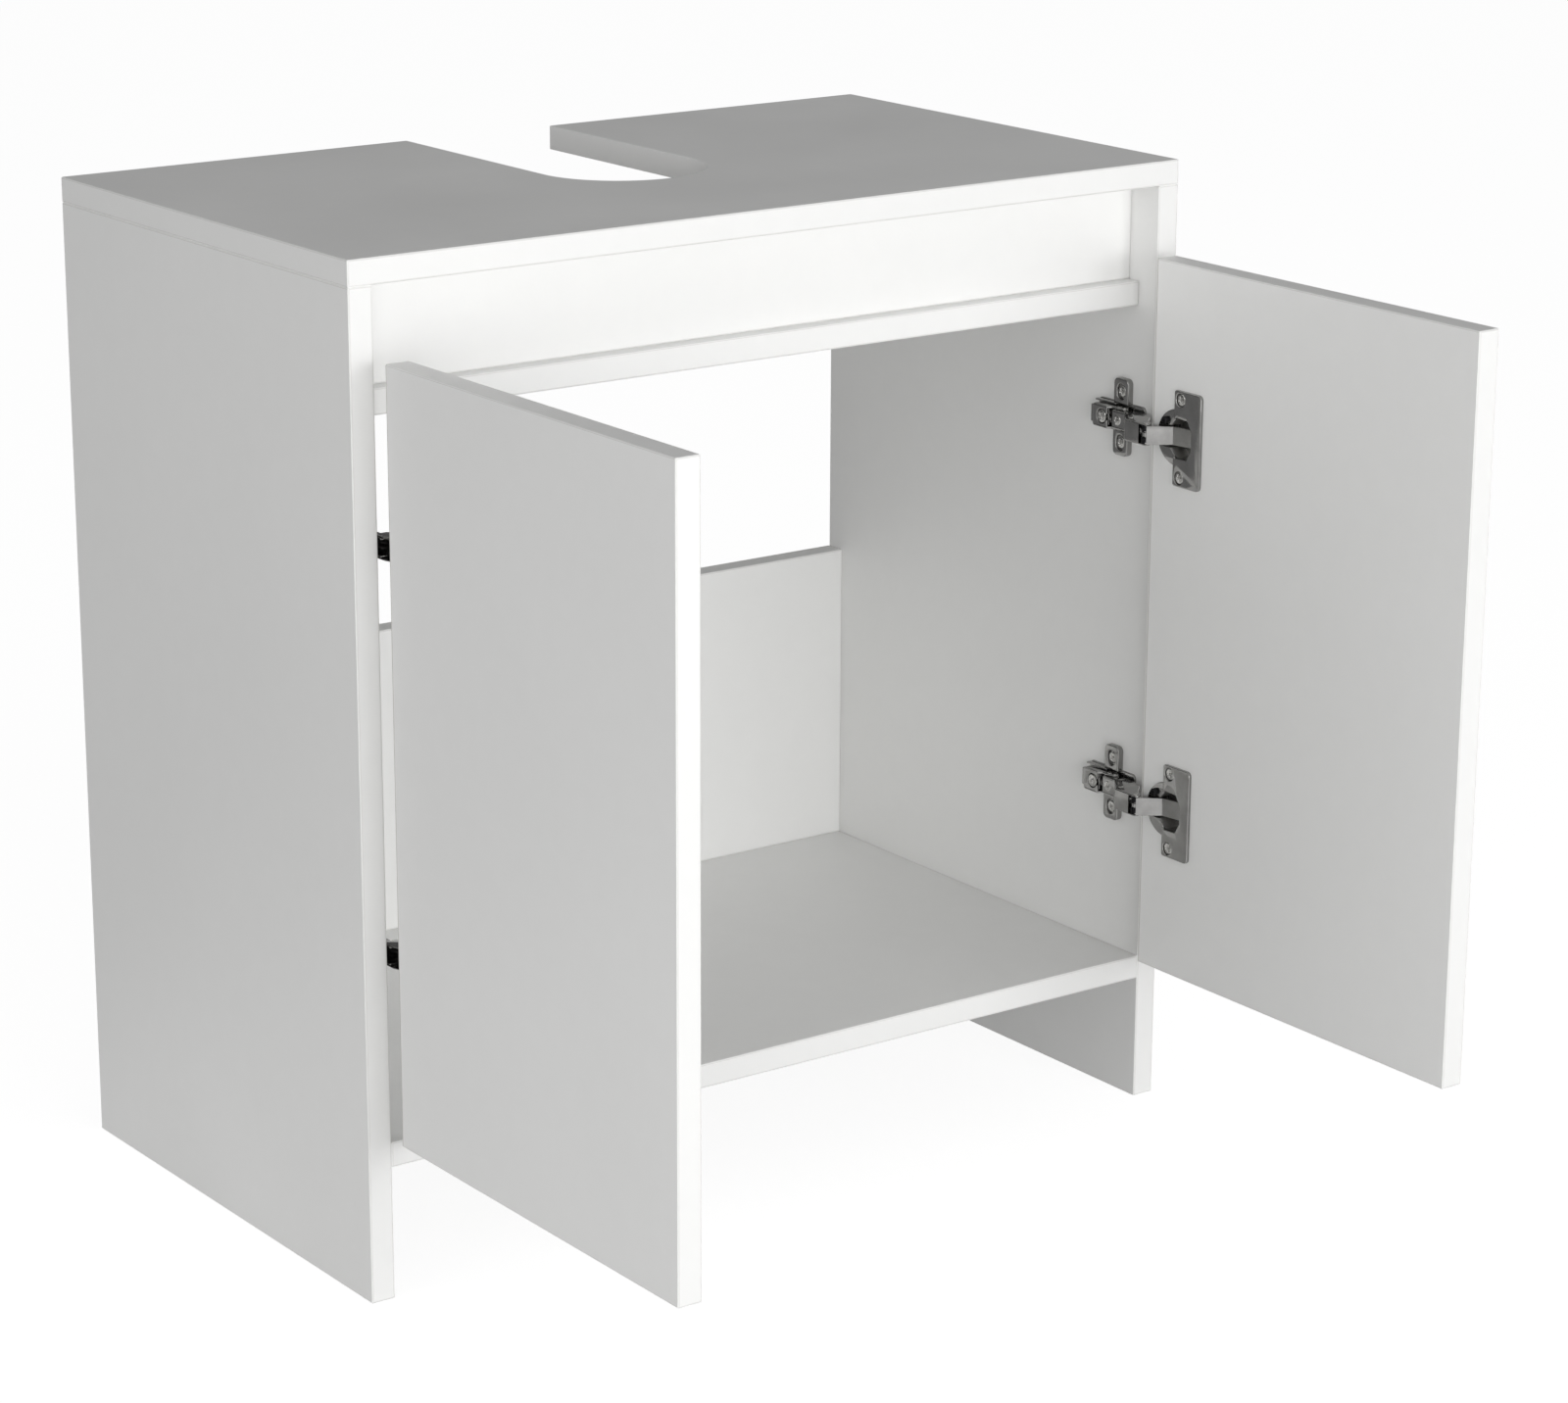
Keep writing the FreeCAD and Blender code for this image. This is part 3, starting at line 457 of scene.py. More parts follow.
def plate(shape, loops, low, high, rims, facing="side", tone=0):
    """A flat piece from its outline and the outlines of its holes, with rounded rims.

    The outline runs anticlockwise and the holes clockwise. Each rim is a quarter
    round: where it has turned by an angle, the edge stands in by the radius less
    its sine's share, and has risen by the radius less its cosine's share. A plate
    that faces the side has its thickness along the first axis, a level one along
    the third.
    """
    turn = np.linspace(0, np.pi / 2, RIM_STEPS)
    gaps = np.concatenate([rims[0] * (1 - np.sin(turn)), rims[1] * (1 - np.sin(turn[::-1]))])
    levels = np.concatenate([low + rims[0] * (1 - np.cos(turn)),
                             high - rims[1] * (1 - np.cos(turn[::-1]))])
    points, quads, ends, count = [], [], ([], []), 0
    for loop in loops:
        size = len(loop)
        for gap, level in zip(gaps, levels):
            points.append(np.column_stack([inset(loop, gap), np.full(size, level)]))
        quads.append(grid_faces(len(gaps), size) + count)
        ends[0].append(np.arange(size) + count)
        ends[1].append(np.arange(size) + count + size * (len(gaps) - 1))
        count += size * len(gaps)
    points = np.vstack(points)
    triangles = [cap(points, rows, way) for rows, way in zip(ends, (-1, 1))]
    if facing == "side":
        points = points[:, [2, 0, 1]]
    shape.take(points, np.vstack(quads), np.vstack(triangles), (tone, tone))


def cap(points, rows, way):
    """Triangles that close a set of loops, all facing up or all facing down."""
    flat = [[Vector(place) for place in points[row]] for row in rows]
    order = np.concatenate(rows)
    triangles = order[np.array(tessellate_polygon(flat))]
    first, second, third = (points[triangles[:, corner], :2] for corner in range(3))
    area = np.cross(second - first, third - first)
    wrong = area * way < 0
    triangles[wrong] = triangles[wrong][:, ::-1]
    return triangles


def strip(shape, path, half, depths, rim):
    """A folded sheet: a rounded section across the third axis, moved along a path.

    The path runs on the first two axes, and the section reaches from the first
    depth to the second on the path's left. At a fold the section is mitred.
    """
    side = left_of(np.diff(path, axis=0))
    reach = mitre(np.vstack([side[:1], side]), np.vstack([side, side[-1:]]))
    low, high = depths
    section = rounded_loop([(low, half), (low, -half), (high, -half), (high, half)],
                           (rim, rim, 0.15, 0.15))
    across = path[:, None] + reach[:, None] * section[None, :, :1]
    heights = np.broadcast_to(section[None, :, 1:], across.shape[:2] + (1,))
    points = np.concatenate([across, heights], axis=2).reshape(-1, 3)
    shape.take(points, *tube_faces(len(path), len(section)))


def turned(shape, profile, centre, axis, columns=36, relief=None, tone=0):
    """A turned form: radii and heights from pole to pole, round a centre.

    An axis that runs out leaves the side panel, and one that runs up follows the
    third axis. A relief lowers the points by a depth found from their places.
    """
    radius, height = np.asarray(profile, float).T
    angle = np.linspace(0, 2 * np.pi, columns, endpoint=False)
    first = radius[1:-1, None] * np.cos(angle)
    second = radius[1:-1, None] * np.sin(angle)
    rise = np.broadcast_to(height[1:-1, None], first.shape).copy()
    top = height[-1]
    if relief:
        facing = height[1:-1, None] > 0
        rise -= relief(first, second) * facing
        top -= relief(np.zeros(1), np.zeros(1))[0]
    rings = np.stack([first, second, rise], axis=-1).reshape(-1, 3)
    points = np.vstack([[(0, 0, height[0])], rings, [(0, 0, top)]])
    rows = len(radius) - 2
    here = np.arange(columns) + 1
    following = np.roll(here, -1)
    last = here + columns * (rows - 1)
    bottom = np.column_stack([np.zeros(columns, int), following, here])
    lid = np.column_stack([np.full(columns, len(points) - 1), last, np.roll(last, -1)])
    if axis == "out":
        points = points[:, [2, 1, 0]] * (-1, 1, 1)
    shape.take(points + np.asarray(centre), grid_faces(rows, columns) + 1,
               np.vstack([bottom, lid]), (tone, tone))


def coil(shape, centre, heights, turns, radius, wire):
    """Round wire wound in a helix about an upright axis, with its ends closed.

    Each ring of the tube stands square to the helix: one of its axes is the
    winding's radius and the other is that radius crossed with the heading.
    """
    angle = np.linspace(0, 2 * np.pi * turns, int(turns * COIL_STEPS))
    outward = np.column_stack([np.cos(angle), np.sin(angle), np.zeros(len(angle))])
    climb = (heights[1] - heights[0]) / angle[-1]
    heading = np.column_stack([-radius * np.sin(angle), radius * np.cos(angle),
                               np.full(len(angle), climb)])
    heading /= np.linalg.norm(heading, axis=1, keepdims=True)
    upward = np.cross(outward, heading)
    line = outward * radius + np.column_stack([np.zeros((len(angle), 2)),
                                               heights[0] + climb * angle])
    around = np.linspace(0, 2 * np.pi, COIL_COLUMNS, endpoint=False)[None, :, None]
    rings = line[:, None] + wire * (np.cos(around) * upward[:, None]
                                    + np.sin(around) * outward[:, None])
    points = rings.reshape(-1, 3) + np.append(centre, 0)
    shape.take(points, *tube_faces(len(angle), COIL_COLUMNS))


def cross_recess(arm, half_width, depth, tilt):
    """The depth of a driver's cross: zero outside its arms, falling to full inside."""
    def relief(first, second):
        along = np.abs(first * np.cos(tilt) + second * np.sin(tilt))
        across = np.abs(second * np.cos(tilt) - first * np.sin(tilt))
        inside = np.maximum(np.minimum(arm - along, half_width - across),
                            np.minimum(arm - across, half_width - along))
        return depth * np.clip(inside / (0.7 * half_width), 0, 1)
    return relief


# a driver's cross, as shares of the head's radius, and its depth in millimetres
CROSS_REACH = 0.62
CROSS_WIDTH = 0.17
CROSS_DEPTH = 0.9


def screw(shape, centre, head, dome, shank, length, tilt=0.4):
    """A countersunk screw driven outwards, with a domed head and a driver's cross."""
    radii = np.linspace(head - 0.3, 0.12, 15)
    top = np.column_stack([radii, 0.05 + dome * (1 - (radii / head) ** 2)])
    profile = np.vstack([[(0, -length), (shank, -length), (shank, -1.7), (head, -0.4),
                          (head, -0.15)], top, [(0, 0.05 + dome)]])
    cross = cross_recess(CROSS_REACH * head, CROSS_WIDTH * head, CROSS_DEPTH, tilt)
    turned(shape, profile, centre, "out", 48, cross)


def pin(shape, centre, half, radius, head):
    """An upright pin with flat domed ends that are riveted wide."""
    end = [(head - 0.3, half + 0.32), (0.4 * head, half + 0.4), (0, half + 0.4)]
    start = [(radius, -half), (radius, half), (head, half), (head, half + 0.15)]
    upper = np.array(start[1:] + end)
    lower = upper[::-1] * (1, -1)
    turned(shape, np.vstack([lower, upper]), (*centre, 0.0), "up", 24)


# ------------------------------------------------------------ hinge pieces
# Pivots and outlines in millimetres on a hinge's own axes, as stand() has them. A name
# in U is a place on the first axis and one in Y on the second, and HALF is half a height.

SWING = (-6.0, 24.0)
LEVER_FIXED = (-4.8, 19.7)
OUTER = (-21.8, -19.0)
INNER = (-19.0, -2.0)
OUTER_CUP = (-8.3, -48.5)
INNER_CUP = (-5.5, -31.5)
LEVER_MOVING = (-17.8, -6.3)
DEPTH_SCREW_Y = 35.6
NOSE_SCREW_Y = 20.5
PLATE_SCREWS = [(25.8, -16), (25.8, 16)]
CUP_Y = -38.0
CUP_SCREWS = [(-42.0, -24), (-42.0, 24)]
STRIP_U = -15.0
DOOR_U = -13.0
ARM_HALF = 7.1
NOSE_HALF = 6.7
TONGUE_HALF = 5.7
BAND_HALF = 5.75
CUP_HALF = 12.4
LEVER_PIN_HALF = 3.6
WEB_U = -11.0
WEB_END = 30.4
SHEET = 1.2
PIN_RADIUS = 1.2
RIVET_RADIUS = 1.75


def cheeks(shape, loop, inner, outer, rim):
    """Two level walls, one above the middle and one below, rounded on their outsides."""
    plate(shape, [loop], inner, outer, (0.12, rim), "level")
    plate(shape, [loop], -outer, -inner, (rim, 0.12), "level")


def mounting_plate():
    """Base plate, rail with a ledge on each side, and two wings with countersunk slots."""
    shape = Shape()
    slot_y = PLATE_SCREWS[0][0]
    plate(shape, [box_loop((6, -9), (49.5, 9), 3.0)], -1.5, 0, (0.4, 0.05))
    plate(shape, [box_loop((31, -5.6), (48, 5.6), 0.8)], -9, -1, (0.5, 0.05))
    for way in (-1, 1):
        ledge = box_loop((29, 7.35), (48.3, 8.5), 0.4) * (1, way)
        plate(shape, [ledge[::way]], -5.2, -1, (0.3, 0.05))
        wing = box_loop((19, 8.2), (32.6, 24.25), (0.6, 0.6, 3.4, 3.4)) * (1, way)
        slot = box_loop((slot_y - 3.75, 11.1), (slot_y + 3.75, 20.8), 3.7) * (1, way)
        plate(shape, [wing[::way], slot[::-way]], -4, -2.2, (0.75, 0.05))
        plate(shape, [wing[::way]], -2.3, 0, (0.05, 0.05))
    return shape


def hinge_arm():
    """The channel with its keyhole, which carries the two fixed pivots."""
    shape = Shape()
    wall = [(-11, 44), (-11, WEB_END), (-8.6, 28.6), (-8.4, 23.4), (-7.1, 19), (-4.6, 17.6),
            (-2.6, 19.6), (-2.6, 44)]
    cheeks(shape, rounded_loop(wall, (1.2, 0.8, 0.8, 1.5, 1.6, 1.4, 0.8, 0.8)),
           ARM_HALF - SHEET, ARM_HALF, 0.9)
    back = rounded_path([(WEB_END, -1.9), (WEB_END, -ARM_HALF), (44, -ARM_HALF), (44, ARM_HALF),
                         (WEB_END, ARM_HALF), (WEB_END, 1.9)], (1, 0.3, 1.6, 1.6, 0.3, 1))
    keyhole = arc((DEPTH_SCREW_Y, 0), 4.5, 155, -155, 32)
    plate(shape, [np.vstack([back, keyhole])], WEB_U, WEB_U + SHEET, (0.6, 0.1))
    return shape


def hinge_nose():
    """The folded nose: a tongue on the arm's pin, a ramp and a raised face."""
    shape = Shape()
    ramp = rounded_path([(-11, 25.2), (-11, 13.6), (-17.6, 5.6)], 3.0)
    strip(shape, ramp, TONGUE_HALF, (0, SHEET), 0.8)
    face = rounded_path([(-13.1, 11.4), (-24.5, -2.5), (-24.5, -15.4)], 1.6)
    strip(shape, face, NOSE_HALF, (0, SHEET), 1.0)
    wall = [(-12.6, 12), (-24.5, -2.5), (-24.5, -19), (-23.8, -21.6), (-21.6, -22.4),
            (-19.4, -21.4), (-15.8, -14.6), (-11.8, -11), (-7.8, -6.5), (-4.8, 2), (-4.6, 12)]
    cheeks(shape, rounded_loop(wall, (0.5, 1.4, 1, 1, 1, 1, 3, 4, 3, 3, 1.6), 4),
           NOSE_HALF - 0.8, NOSE_HALF, 0.7)
    tongue = [(-11, 25.2), (-11, 14), (-12.6, 12), (-18, 5), (-4.6, 5), (-4.6, 17.2), (-6, 17.8),
              (-6.9, 19.2), (-6.9, 21.4), (-4, 23), (-4.2, 25.8), (-6.6, 26.3)]
    cheeks(shape, rounded_loop(tongue, (0.8, 1, 0.5, 0.5, 1, 0.4, 0.5, 0.8, 0.8, 0.8, 1, 1), 4),
           TONGUE_HALF - SHEET, TONGUE_HALF, 0.6)
    return shape


def control_lever():
    """The flat lever between the arm and the inner link."""
    shape = Shape()
    heading = np.subtract(LEVER_MOVING, LEVER_FIXED)
    across = np.array([-heading[1], heading[0]]) / np.hypot(*heading)
    bar = np.array([LEVER_FIXED + across, LEVER_FIXED - across,
                    LEVER_MOVING - across, LEVER_MOVING + across])
    plate(shape, [bar[::-1]], -1.5, 1.5, (0.2, 0.2), "level")
    for pivot in (LEVER_FIXED, LEVER_MOVING):
        plate(shape, [round_loop(pivot, 1.9)], -1.5, 1.5, (0.3, 0.3), "level")
    return shape


def outer_link():
    """The broad band from the nose's pin into the cup, its rolled eye and its neck."""
    shape = Shape()
    band = rounded_path([(-24, -22.1), (-11.1, -32.2), (-8.6, -46.8)], 1.6)
    strip(shape, band, BAND_HALF, (-0.65, 0.65), 0.45)
    plate(shape, [round_loop(OUTER_CUP, 2.0)], -BAND_HALF, BAND_HALF, (0.4, 0.4), "level")
    neck = [(-20.95, -18.7), (-22.65, -19.3), (-21.4, -25.2), (-18.9, -24.2)]
    plate(shape, [rounded_loop(neck, 0.3)], -1.3, 1.3, (0.2, 0.2), "level")
    plate(shape, [round_loop(OUTER, 2.2)], -1.3, 1.3, (0.3, 0.3), "level")
    return shape


def inner_link():
    """The forked bar beside the band."""
    shape = Shape()
    fork = [(-20.6, -2), (-19.4, -6.3), (-18.2, -13), (-15.2, -13), (-16.2, -6.3), (-17.4, -2)]
    cheeks(shape, rounded_loop(fork, 0.4), 1.8, 4, 0.4)
    bar = [(-18.4, -11.2), (-18.2, -22.7), (-6.6, -32.6), (-4.4, -30.4), (-15.2, -21.3),
           (-15.2, -11.2)]
    plate(shape, [rounded_loop(bar, (0.3, 2.4, 1, 1, 1, 0.3))], -4, 4, (0.5, 0.5), "level")
    plate(shape, [round_loop(INNER_CUP, 2.1)], -4, 4, (0.4, 0.4), "level")
    for pivot in (INNER, LEVER_MOVING):
        cheeks(shape, round_loop(pivot, 2.1), 1.8, 4, 0.4)
    return shape


def hinge_cup():
    """Screw strip, rim and faceted hollow, with the small dark screw beside the band."""
    shape = Shape()
    facets = [(-22.5, -6.4), (-32.7, -6.9), (-38.3, -12.4), (-48.5, -12), (-52.4, -5.6)]
    upper = [(y, -z) for y, z in facets[::-1]]
    hollow = rounded_loop(facets + upper, 0.5, 3)
    screws = [round_loop(place, 4.1)[::-1] for place in CUP_SCREWS]
    rim, wall = (round_loop((CUP_Y, 0), radius, 64) for radius in (17.3, 16.9))
    plate(shape, [rim, hollow], -13.8, -12.9, (0.35, 0.02))
    plate(shape, [wall, hollow], -13.0, -2.6, (0.02, 0.02), tone=1)
    plate(shape, [wall], -2.7, -1.6, (0.02, 0.3), tone=1)
    plate(shape, [strip_outline(facets)] + screws, STRIP_U, DOOR_U, (0.5, 0.05))
    for place in CUP_SCREWS:
        plate(shape, [round_loop(place, 4.4)], -13.5, DOOR_U, (0.02, 0.02))
    turned(shape, [(0, 0), (2.3, 0), (2.3, 2.0), (1.9, 2.4), (0.9, 2.4), (0.6, 1.6), (0, 1.6)],
           (-13.7, -28.2, 9.5), "out", 24, tone=2)
    return shape


def strip_outline(facets):
    """The screw strip's outline, which the hollow opens on its near edge."""
    near_edge, far_edge, half = -36.5, -60.5, 29.5
    lower = [(far_edge, -half), (near_edge, -half), (near_edge, -10.6)] + facets[2:]
    upper = [(y, -z) for y, z in lower[::-1]]
    radii = (3.0, 1.6) + (0.5,) * (2 * len(lower) - 4) + (1.6, 3.0)
    return rounded_loop(lower + upper, radii, 4)


# ------------------------------------------------------------ pins, screws and springs

def pins_at(pivots, half, head):
    """Pins through some pivots of one hinge."""
    shape = Shape()
    for pivot in pivots:
        pin(shape, pivot, half, PIN_RADIUS, head)
    return shape


def arm_pins():
    """The two pins riveted into the arm."""
    return pins_at((SWING, LEVER_FIXED), ARM_HALF, RIVET_RADIUS)


def nose_pins():
    """The two pins riveted into the nose."""
    return pins_at((OUTER, INNER), NOSE_HALF, RIVET_RADIUS)


def cup_pins():
    """The two pins in the cup's walls."""
    return pins_at((OUTER_CUP, INNER_CUP), CUP_HALF, PIN_RADIUS)


def lever_pins():
    """The pin between the lever and the inner link."""
    return pins_at((LEVER_MOVING,), LEVER_PIN_HALF, PIN_RADIUS)


def plate_screws():
    """The two screws of a mounting plate."""
    shape = Shape()
    for place in PLATE_SCREWS:
        screw(shape, (-3.0, *place), head=3.5, dome=0.45, shank=1.9, length=10.5)
    return shape


def cup_screws():
    """The two screws of a cup."""
    shape = Shape()
    for place in CUP_SCREWS:
        screw(shape, (-14.2, *place), head=3.6, dome=0.5, shank=1.9, length=10.5)
    return shape


def depth_screws():
    """The big round-headed screw in the arm's keyhole."""
    shape = Shape()
    screw(shape, (-10.9, DEPTH_SCREW_Y, 0), head=4.0, dome=0.5, shank=1.6, length=1.7, tilt=0.75)
    return shape


def nose_screws():
    """The smaller screw in the nose's tongue."""
    shape = Shape()
    screw(shape, (-11.1, NOSE_SCREW_Y, 0), head=3.3, dome=0.6, shank=1.6, length=1.6, tilt=0.3)
    return shape


def torsion_springs():
    """A pair of close coils on the outer pin, one each side of the link's eye."""
    shape = Shape()
    for way in (-1, 1):
        coil(shape, OUTER, (1.85 * way, 5.4 * way), turns=3.6, radius=2.25, wire=0.46)
    return shape


# ------------------------------------------------------------ hinge objects
# Which pieces have a node for each hinge, for all four hinges, or for each side.

HINGE_PIECES = (mounting_plate, hinge_arm, hinge_nose, control_lever, outer_link, inner_link,
                hinge_cup)
GROUPS = (arm_pins, plate_screws, depth_screws)
SIDE_GROUPS = (cup_screws, cup_pins, nose_pins, lever_pins, nose_screws, torsion_springs)
SHARP_ANGLE = math.radians(38)


def piece(node, hinges, maker, materials):
    """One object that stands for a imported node, made at every hinge that the node serves."""
    whole = Shape()
    form = maker()
    for side, level in hinges:
        whole.gather(form, side, level)
    mesh = bpy.data.meshes.new("fine_" + node)
    mesh.from_pydata(whole.points.tolist(), [], whole.quads.tolist() + whole.triangles.tolist())
    for material in materials:
        mesh.materials.append(material)
    mesh.polygons.foreach_set("material_index", np.concatenate(whole.tones).astype(np.int32))
    mesh.polygons.foreach_set("use_smooth", np.ones(len(mesh.polygons), bool))
    mesh.set_sharp_from_angle(angle=SHARP_ANGLE)
    mesh.update()
    item = bpy.data.objects.new("fine_" + node, mesh)
    bpy.context.scene.collection.objects.link(item)
    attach(item, NODES[node]["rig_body"])
    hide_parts(node)


# ------------------------------------------------------------ settings

class BoardSettings(bpy.types.PropertyGroup):
    """The look of the coated boards."""

    colour: FloatVectorProperty(name="Colour", description="Coating of the boards",
                                subtype="COLOR", size=4, default=(0.86, 0.86, 0.85, 1.0))
    roughness: FloatProperty(name="Roughness", description="Sheen of the coating",
                             default=0.42, min=0.0, max=1.0)


class HingeSettings(bpy.types.PropertyGroup):
    """The look of the hinges."""

    steel: FloatVectorProperty(name="Steel", description="Nickel-plated sheet of the hinges",
                               subtype="COLOR", size=4, default=(0.33, 0.327, 0.32, 1.0))
    screws: FloatVectorProperty(name="Screws", description="Brighter plating of the screws",
                                subtype="COLOR", size=4, default=(0.5, 0.495, 0.48, 1.0))
    spring: FloatVectorProperty(name="Spring", description="Dark wire of the springs",
                                subtype="COLOR", size=4, default=(0.03, 0.03, 0.032, 1.0))
    wood: FloatVectorProperty(name="Wood", description="Beech of the dowels",
                              subtype="COLOR", size=4, default=(0.55, 0.36, 0.2, 1.0))
    roughness: FloatProperty(name="Roughness", description="Sheen of the plating",
                             default=0.09, min=0.0, max=1.0)
    cup_roughness: FloatProperty(name="Cup roughness", description="Sheen inside the cups",
                                 default=0.42, min=0.0, max=1.0)
    wire_roughness: FloatProperty(name="Wire roughness", description="Sheen of the springs",
                                  default=0.4, min=0.0, max=1.0)


class StageSettings(bpy.types.PropertyGroup):
    """The studio's lamps, world and camera."""

    camera_place: FloatVectorProperty(name="Camera place", subtype="TRANSLATION", unit="LENGTH",
                                      description="Where the camera stands",
                                      default=(-1.4587, -2.0216, 1.0249))
    camera_turn: FloatProperty(name="Camera heading", subtype="ANGLE", unit="ROTATION",
                               description="Turn of the view away from the back wall",
                               default=math.radians(35.19))
    camera_dip: FloatProperty(name="Camera dip", subtype="ANGLE", unit="ROTATION",
                              description="How far the view looks down",
                              default=math.radians(16.59))
    lens: FloatProperty(name="Lens", description="Focal length in millimetres", default=101.17)
    shift_across: FloatProperty(name="Shift across", description="Lens shift", default=0.0408)
    shift_up: FloatProperty(name="Shift up", description="Lens shift", default=0.0218)
    front: FloatProperty(name="Front lamp", description="Power", unit="POWER", default=81.0)
    low: FloatProperty(name="Low lamp", description="Power", unit="POWER", default=60.0)
    left: FloatProperty(name="Left lamp", description="Power", unit="POWER", default=19.0)
    sky: FloatProperty(name="Sky", description="Strength of the light from all round",
                       default=0.38)
    far_side: FloatProperty(name="Far side", default=0.14,
                            description="Brightness that polished parts mirror from behind")


# ------------------------------------------------------------ operators

class CABINET_OT_boards(bpy.types.Operator):
    """Dress the carcass boards and doors."""

    bl_idname = "cabinet.boards"
    bl_label = "Boards"

    def execute(self, context):
        look = context.scene.cabinet_boards
        for name in BOARDS + DOORS:
            low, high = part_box(name)
            # the doors also get painted shade along their hinge edge
            dress(name, coated_board("coated_" + name, low, high, look.colour, look.roughness,
                                     PAINTED_GAP_SHADE if name in DOORS else 0.0))
        return {"FINISHED"}


class CABINET_OT_hinges(bpy.types.Operator):
    """Dress the hinges."""

    bl_idname = "cabinet.hinges"
    bl_label = "Hinges"

    def execute(self, context):
        look = context.scene.cabinet_hinges
        steel = plated_steel("nickel_plate", look.steel, look.roughness)
        bright = plated_steel("bright_plate", look.screws, look.roughness)
        matt = plated_steel("drawn_cup", look.screws, look.cup_roughness)
        dark = plated_steel("oiled_wire", look.spring, look.wire_roughness)
        for level in LEVELS:
            for side in SIDES:
                for maker in HINGE_PIECES:
                    node = "%s_%s_%s" % (maker.__name__, level, side)
                    piece(node, [(side, level)], maker, (steel, matt, dark))
        finish = {"screws": ("hinge_screws", bright), "pins": ("hinge_pins", bright),
                  "springs": ("spring_wire", dark)}
        for maker in GROUPS:
            slot, material = finish[maker.__name__.split("_")[1]]
            hinges = [(side, level) for side in SIDES for level in LEVELS]
            piece(maker.__name__, hinges, maker, (material,))
        for side in SIDES:
            for maker in SIDE_GROUPS:
                slot, material = finish[maker.__name__.split("_")[1]]
                hinges = [(side, level) for level in LEVELS]
                piece("%s_%s" % (maker.__name__, side), hinges, maker, (material,))
        if any(not NODES[name].hide_render for name in NODES
               if name not in BOARDS + DOORS + ("dowels",)):
            raise RuntimeError("a hinge node has no fine piece")
        dress("dowels", coated_board("dowel_wood", *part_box("dowels"), look.wood, 0.6))
        return {"FINISHED"}


# ------------------------------------------------------------ stage
# The lamps' places and sizes in metres, the point that they face, the floor's half width,
# depth and tones, and the spans over which floor and world dim in reflections.

LAMPS = {"front": ((0.5, -4.2, 0.9), (2.6, 1.6)), "low": ((-2.0, -3.6, 0.4), (2.6, 1.6)),
         "left": ((-3.6, -1.0, 1.0), (1.8, 1.6))}
LAMP_TARGET = (0.0, 0.0, 0.3)
FLOOR_HALF = 12.0
FLOOR_DROP = 0.0002
FLOOR_GLOW = 0.86
FLOOR_MATT = 0.6
FLOOR_SHOWN = 0.3
FLOOR_FADE = (0.35, 0.7)
WORLD_FADE = (-0.3, 0.5)
WHITE = grey(1.0)


def lamp(name, place, target, size, power):
    """A soft oblong lamp that faces a point."""
    light = bpy.data.lights.new(name, "AREA")
    light.shape = "RECTANGLE"
    light.size, light.size_y = size
    light.energy = power
    item = bpy.data.objects.new(name, light)
    item.location = place
    item.rotation_euler = (Vector(target) - Vector(place)).to_track_quat("-Z", "Y").to_euler()
    bpy.context.scene.collection.objects.link(item)
    return item


def seen_directly(tree):
    """One for rays that show the background: straight, reflected or through glass."""
    path = add(tree, "LightPath").outputs
    straight = maths(tree, "MAXIMUM", path["Is Camera Ray"], path["Is Glossy Ray"])
    return maths(tree, "MAXIMUM", straight, path["Is Transmission Ray"])


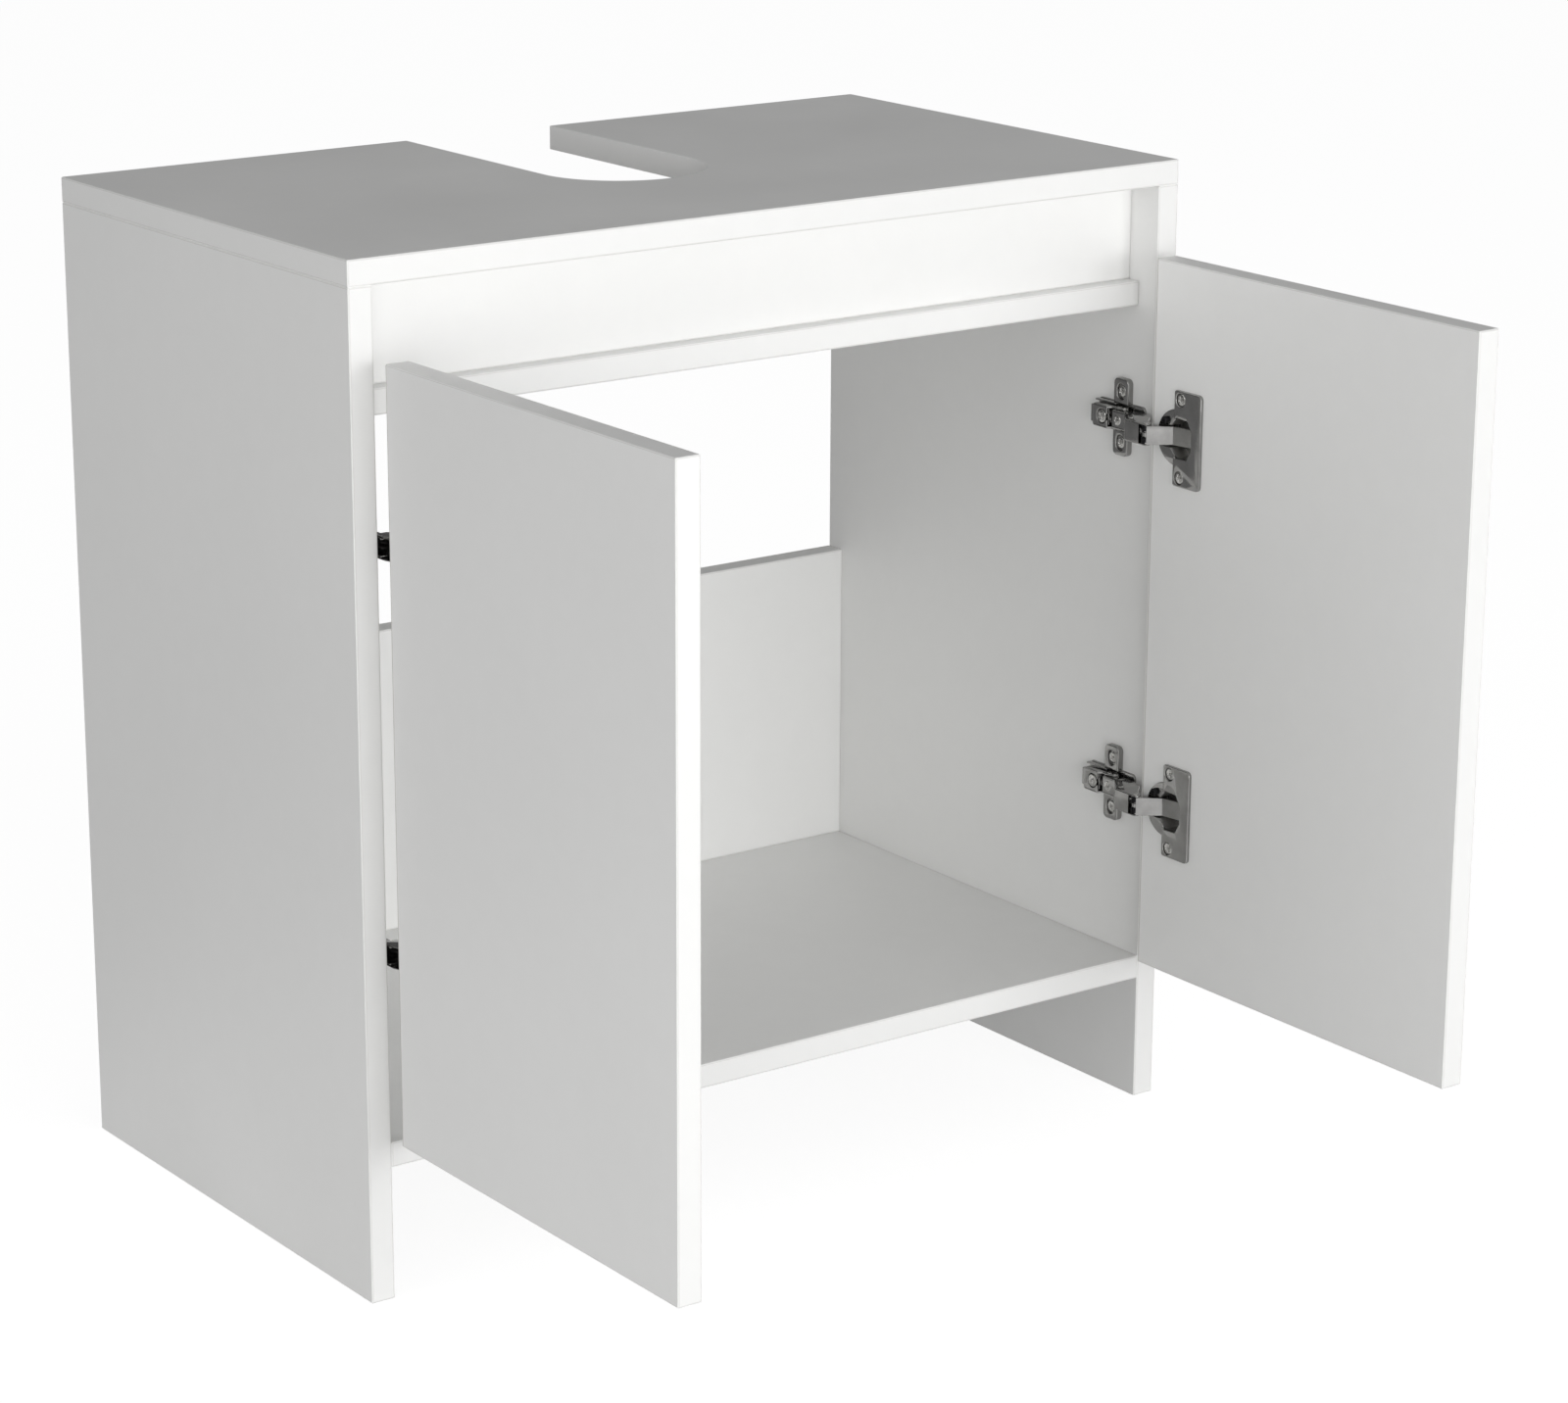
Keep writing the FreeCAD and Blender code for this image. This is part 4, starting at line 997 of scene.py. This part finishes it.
class CABINET_OT_stage(bpy.types.Operator):
    """Set up the floor, the white surroundings, the lamps and the camera."""

    bl_idname = "cabinet.stage"
    bl_label = "Stage"

    def execute(self, context):
        scene = context.scene
        look = scene.cabinet_stage
        self.make_floor(scene, look)
        self.make_world(scene, look)
        for name, (place, size) in LAMPS.items():
            item = lamp(name + "_lamp", place, LAMP_TARGET, size, getattr(look, name))
            # the hinges' bands face the low lamp, and would mirror it as a white patch
            item.visible_glossy = name != "low"
        self.make_camera(scene, look)
        scene.view_settings.view_transform = "Standard"
        return {"FINISHED"}

    def make_floor(self, scene, look):
        """A wide white floor that keeps a pale shadow, and mirrors dimmer behind the cabinet."""
        mesh = bpy.data.meshes.new("floor")
        corners = [(-1, -1), (1, -1), (1, 1), (-1, 1)]
        mesh.from_pydata([(x * FLOOR_HALF, y * FLOOR_HALF, -FLOOR_DROP) for x, y in corners],
                         [], [(0, 1, 2, 3)])
        floor = bpy.data.objects.new("floor", mesh)
        scene.collection.objects.link(floor)
        material = bpy.data.materials.new("floor_white")
        material.use_nodes = True
        tree = material.node_tree
        tree.nodes.clear()
        matt = add(tree, "BsdfDiffuse", {"Color": grey(FLOOR_MATT)})
        shown = add(tree, "BsdfDiffuse", {"Color": grey(FLOOR_SHOWN)})
        back = add(tree, "SeparateXYZ", {0: add(tree, "TexCoord").outputs["Object"]}).outputs[1]
        mirrored = remap(tree, back, *FLOOR_FADE, FLOOR_GLOW, look.far_side)
        mirror = add(tree, "LightPath").outputs["Is Glossy Ray"]
        strength = add(tree, "Mix", {0: mirror, 2: FLOOR_GLOW, 3: mirrored}).outputs[0]
        glow = add(tree, "Emission", {"Color": WHITE, "Strength": strength})
        lit = add(tree, "AddShader", {0: shown.outputs[0], 1: glow.outputs[0]})
        both = add(tree, "MixShader", {0: seen_directly(tree), 1: matt.outputs[0],
                                       2: lit.outputs[0]})
        output = add(tree, "OutputMaterial")
        tree.links.new(both.outputs[0], output.inputs["Surface"])
        mesh.materials.append(material)

    def make_world(self, scene, look):
        """White to the eye, dimmer behind in reflections, and a weak even light elsewhere."""
        world = bpy.data.worlds.new("studio")
        scene.world = world
        world.use_nodes = True
        tree = world.node_tree
        tree.nodes.clear()
        way = add(tree, "TexCoord").outputs["Generated"]
        behind = add(tree, "SeparateXYZ", {0: way}).outputs[1]
        mirrored = remap(tree, behind, *WORLD_FADE, 1.0, look.far_side)
        mirror = add(tree, "LightPath").outputs["Is Glossy Ray"]
        strength = add(tree, "Mix", {0: mirror, 2: 1.0, 3: mirrored}).outputs[0]
        white = add(tree, "Background", {"Color": WHITE, "Strength": strength})
        even = add(tree, "Background", {"Color": WHITE, "Strength": look.sky})
        both = add(tree, "MixShader", {0: seen_directly(tree), 1: even.outputs[0],
                                       2: white.outputs[0]})
        output = add(tree, "OutputWorld")
        tree.links.new(both.outputs[0], output.inputs["Surface"])

    def make_camera(self, scene, look):
        """The photograph's viewpoint."""
        data = bpy.data.cameras.new("camera")
        data.lens = look.lens
        data.shift_x = look.shift_across
        data.shift_y = look.shift_up
        data.clip_start = 0.05
        camera = bpy.data.objects.new("camera", data)
        camera.location = look.camera_place
        camera.rotation_euler = Euler((math.pi / 2 - look.camera_dip, 0.0, -look.camera_turn))
        scene.collection.objects.link(camera)
        scene.camera = camera


class CABINET_PT_panel(bpy.types.Panel):
    """Lists the settings and steps in the sidebar."""

    bl_idname = "CABINET_PT_panel"
    bl_label = "Cabinet"
    bl_space_type = "VIEW_3D"
    bl_region_type = "UI"
    bl_category = "Cabinet"

    def draw(self, context):
        for settings in ("cabinet_boards", "cabinet_hinges", "cabinet_stage"):
            group = getattr(context.scene, settings)
            box = self.layout.box()
            for name in group.__annotations__:
                box.prop(group, name)
        for operator in OPERATORS:
            self.layout.operator(operator.bl_idname)


OPERATORS = (CABINET_OT_boards, CABINET_OT_hinges, CABINET_OT_stage)
SETTINGS = {"cabinet_boards": BoardSettings, "cabinet_hinges": HingeSettings,
            "cabinet_stage": StageSettings}


def register():
    """Register the settings, operators and panel."""
    for name, group in SETTINGS.items():
        bpy.utils.register_class(group)
        setattr(bpy.types.Scene, name, PointerProperty(type=group))
    for item in OPERATORS + (CABINET_PT_panel,):
        bpy.utils.register_class(item)


def unregister():
    """Undo register."""
    for item in (CABINET_PT_panel,) + OPERATORS[::-1]:
        bpy.utils.unregister_class(item)
    for name, group in SETTINGS.items():
        delattr(bpy.types.Scene, name)
        bpy.utils.unregister_class(group)


def main():
    """Make every piece in order."""
    register()
    for operator in OPERATORS:
        family, action = operator.bl_idname.split(".")
        getattr(getattr(bpy.ops, family), action)()


if __name__ == "__main__":
    main()
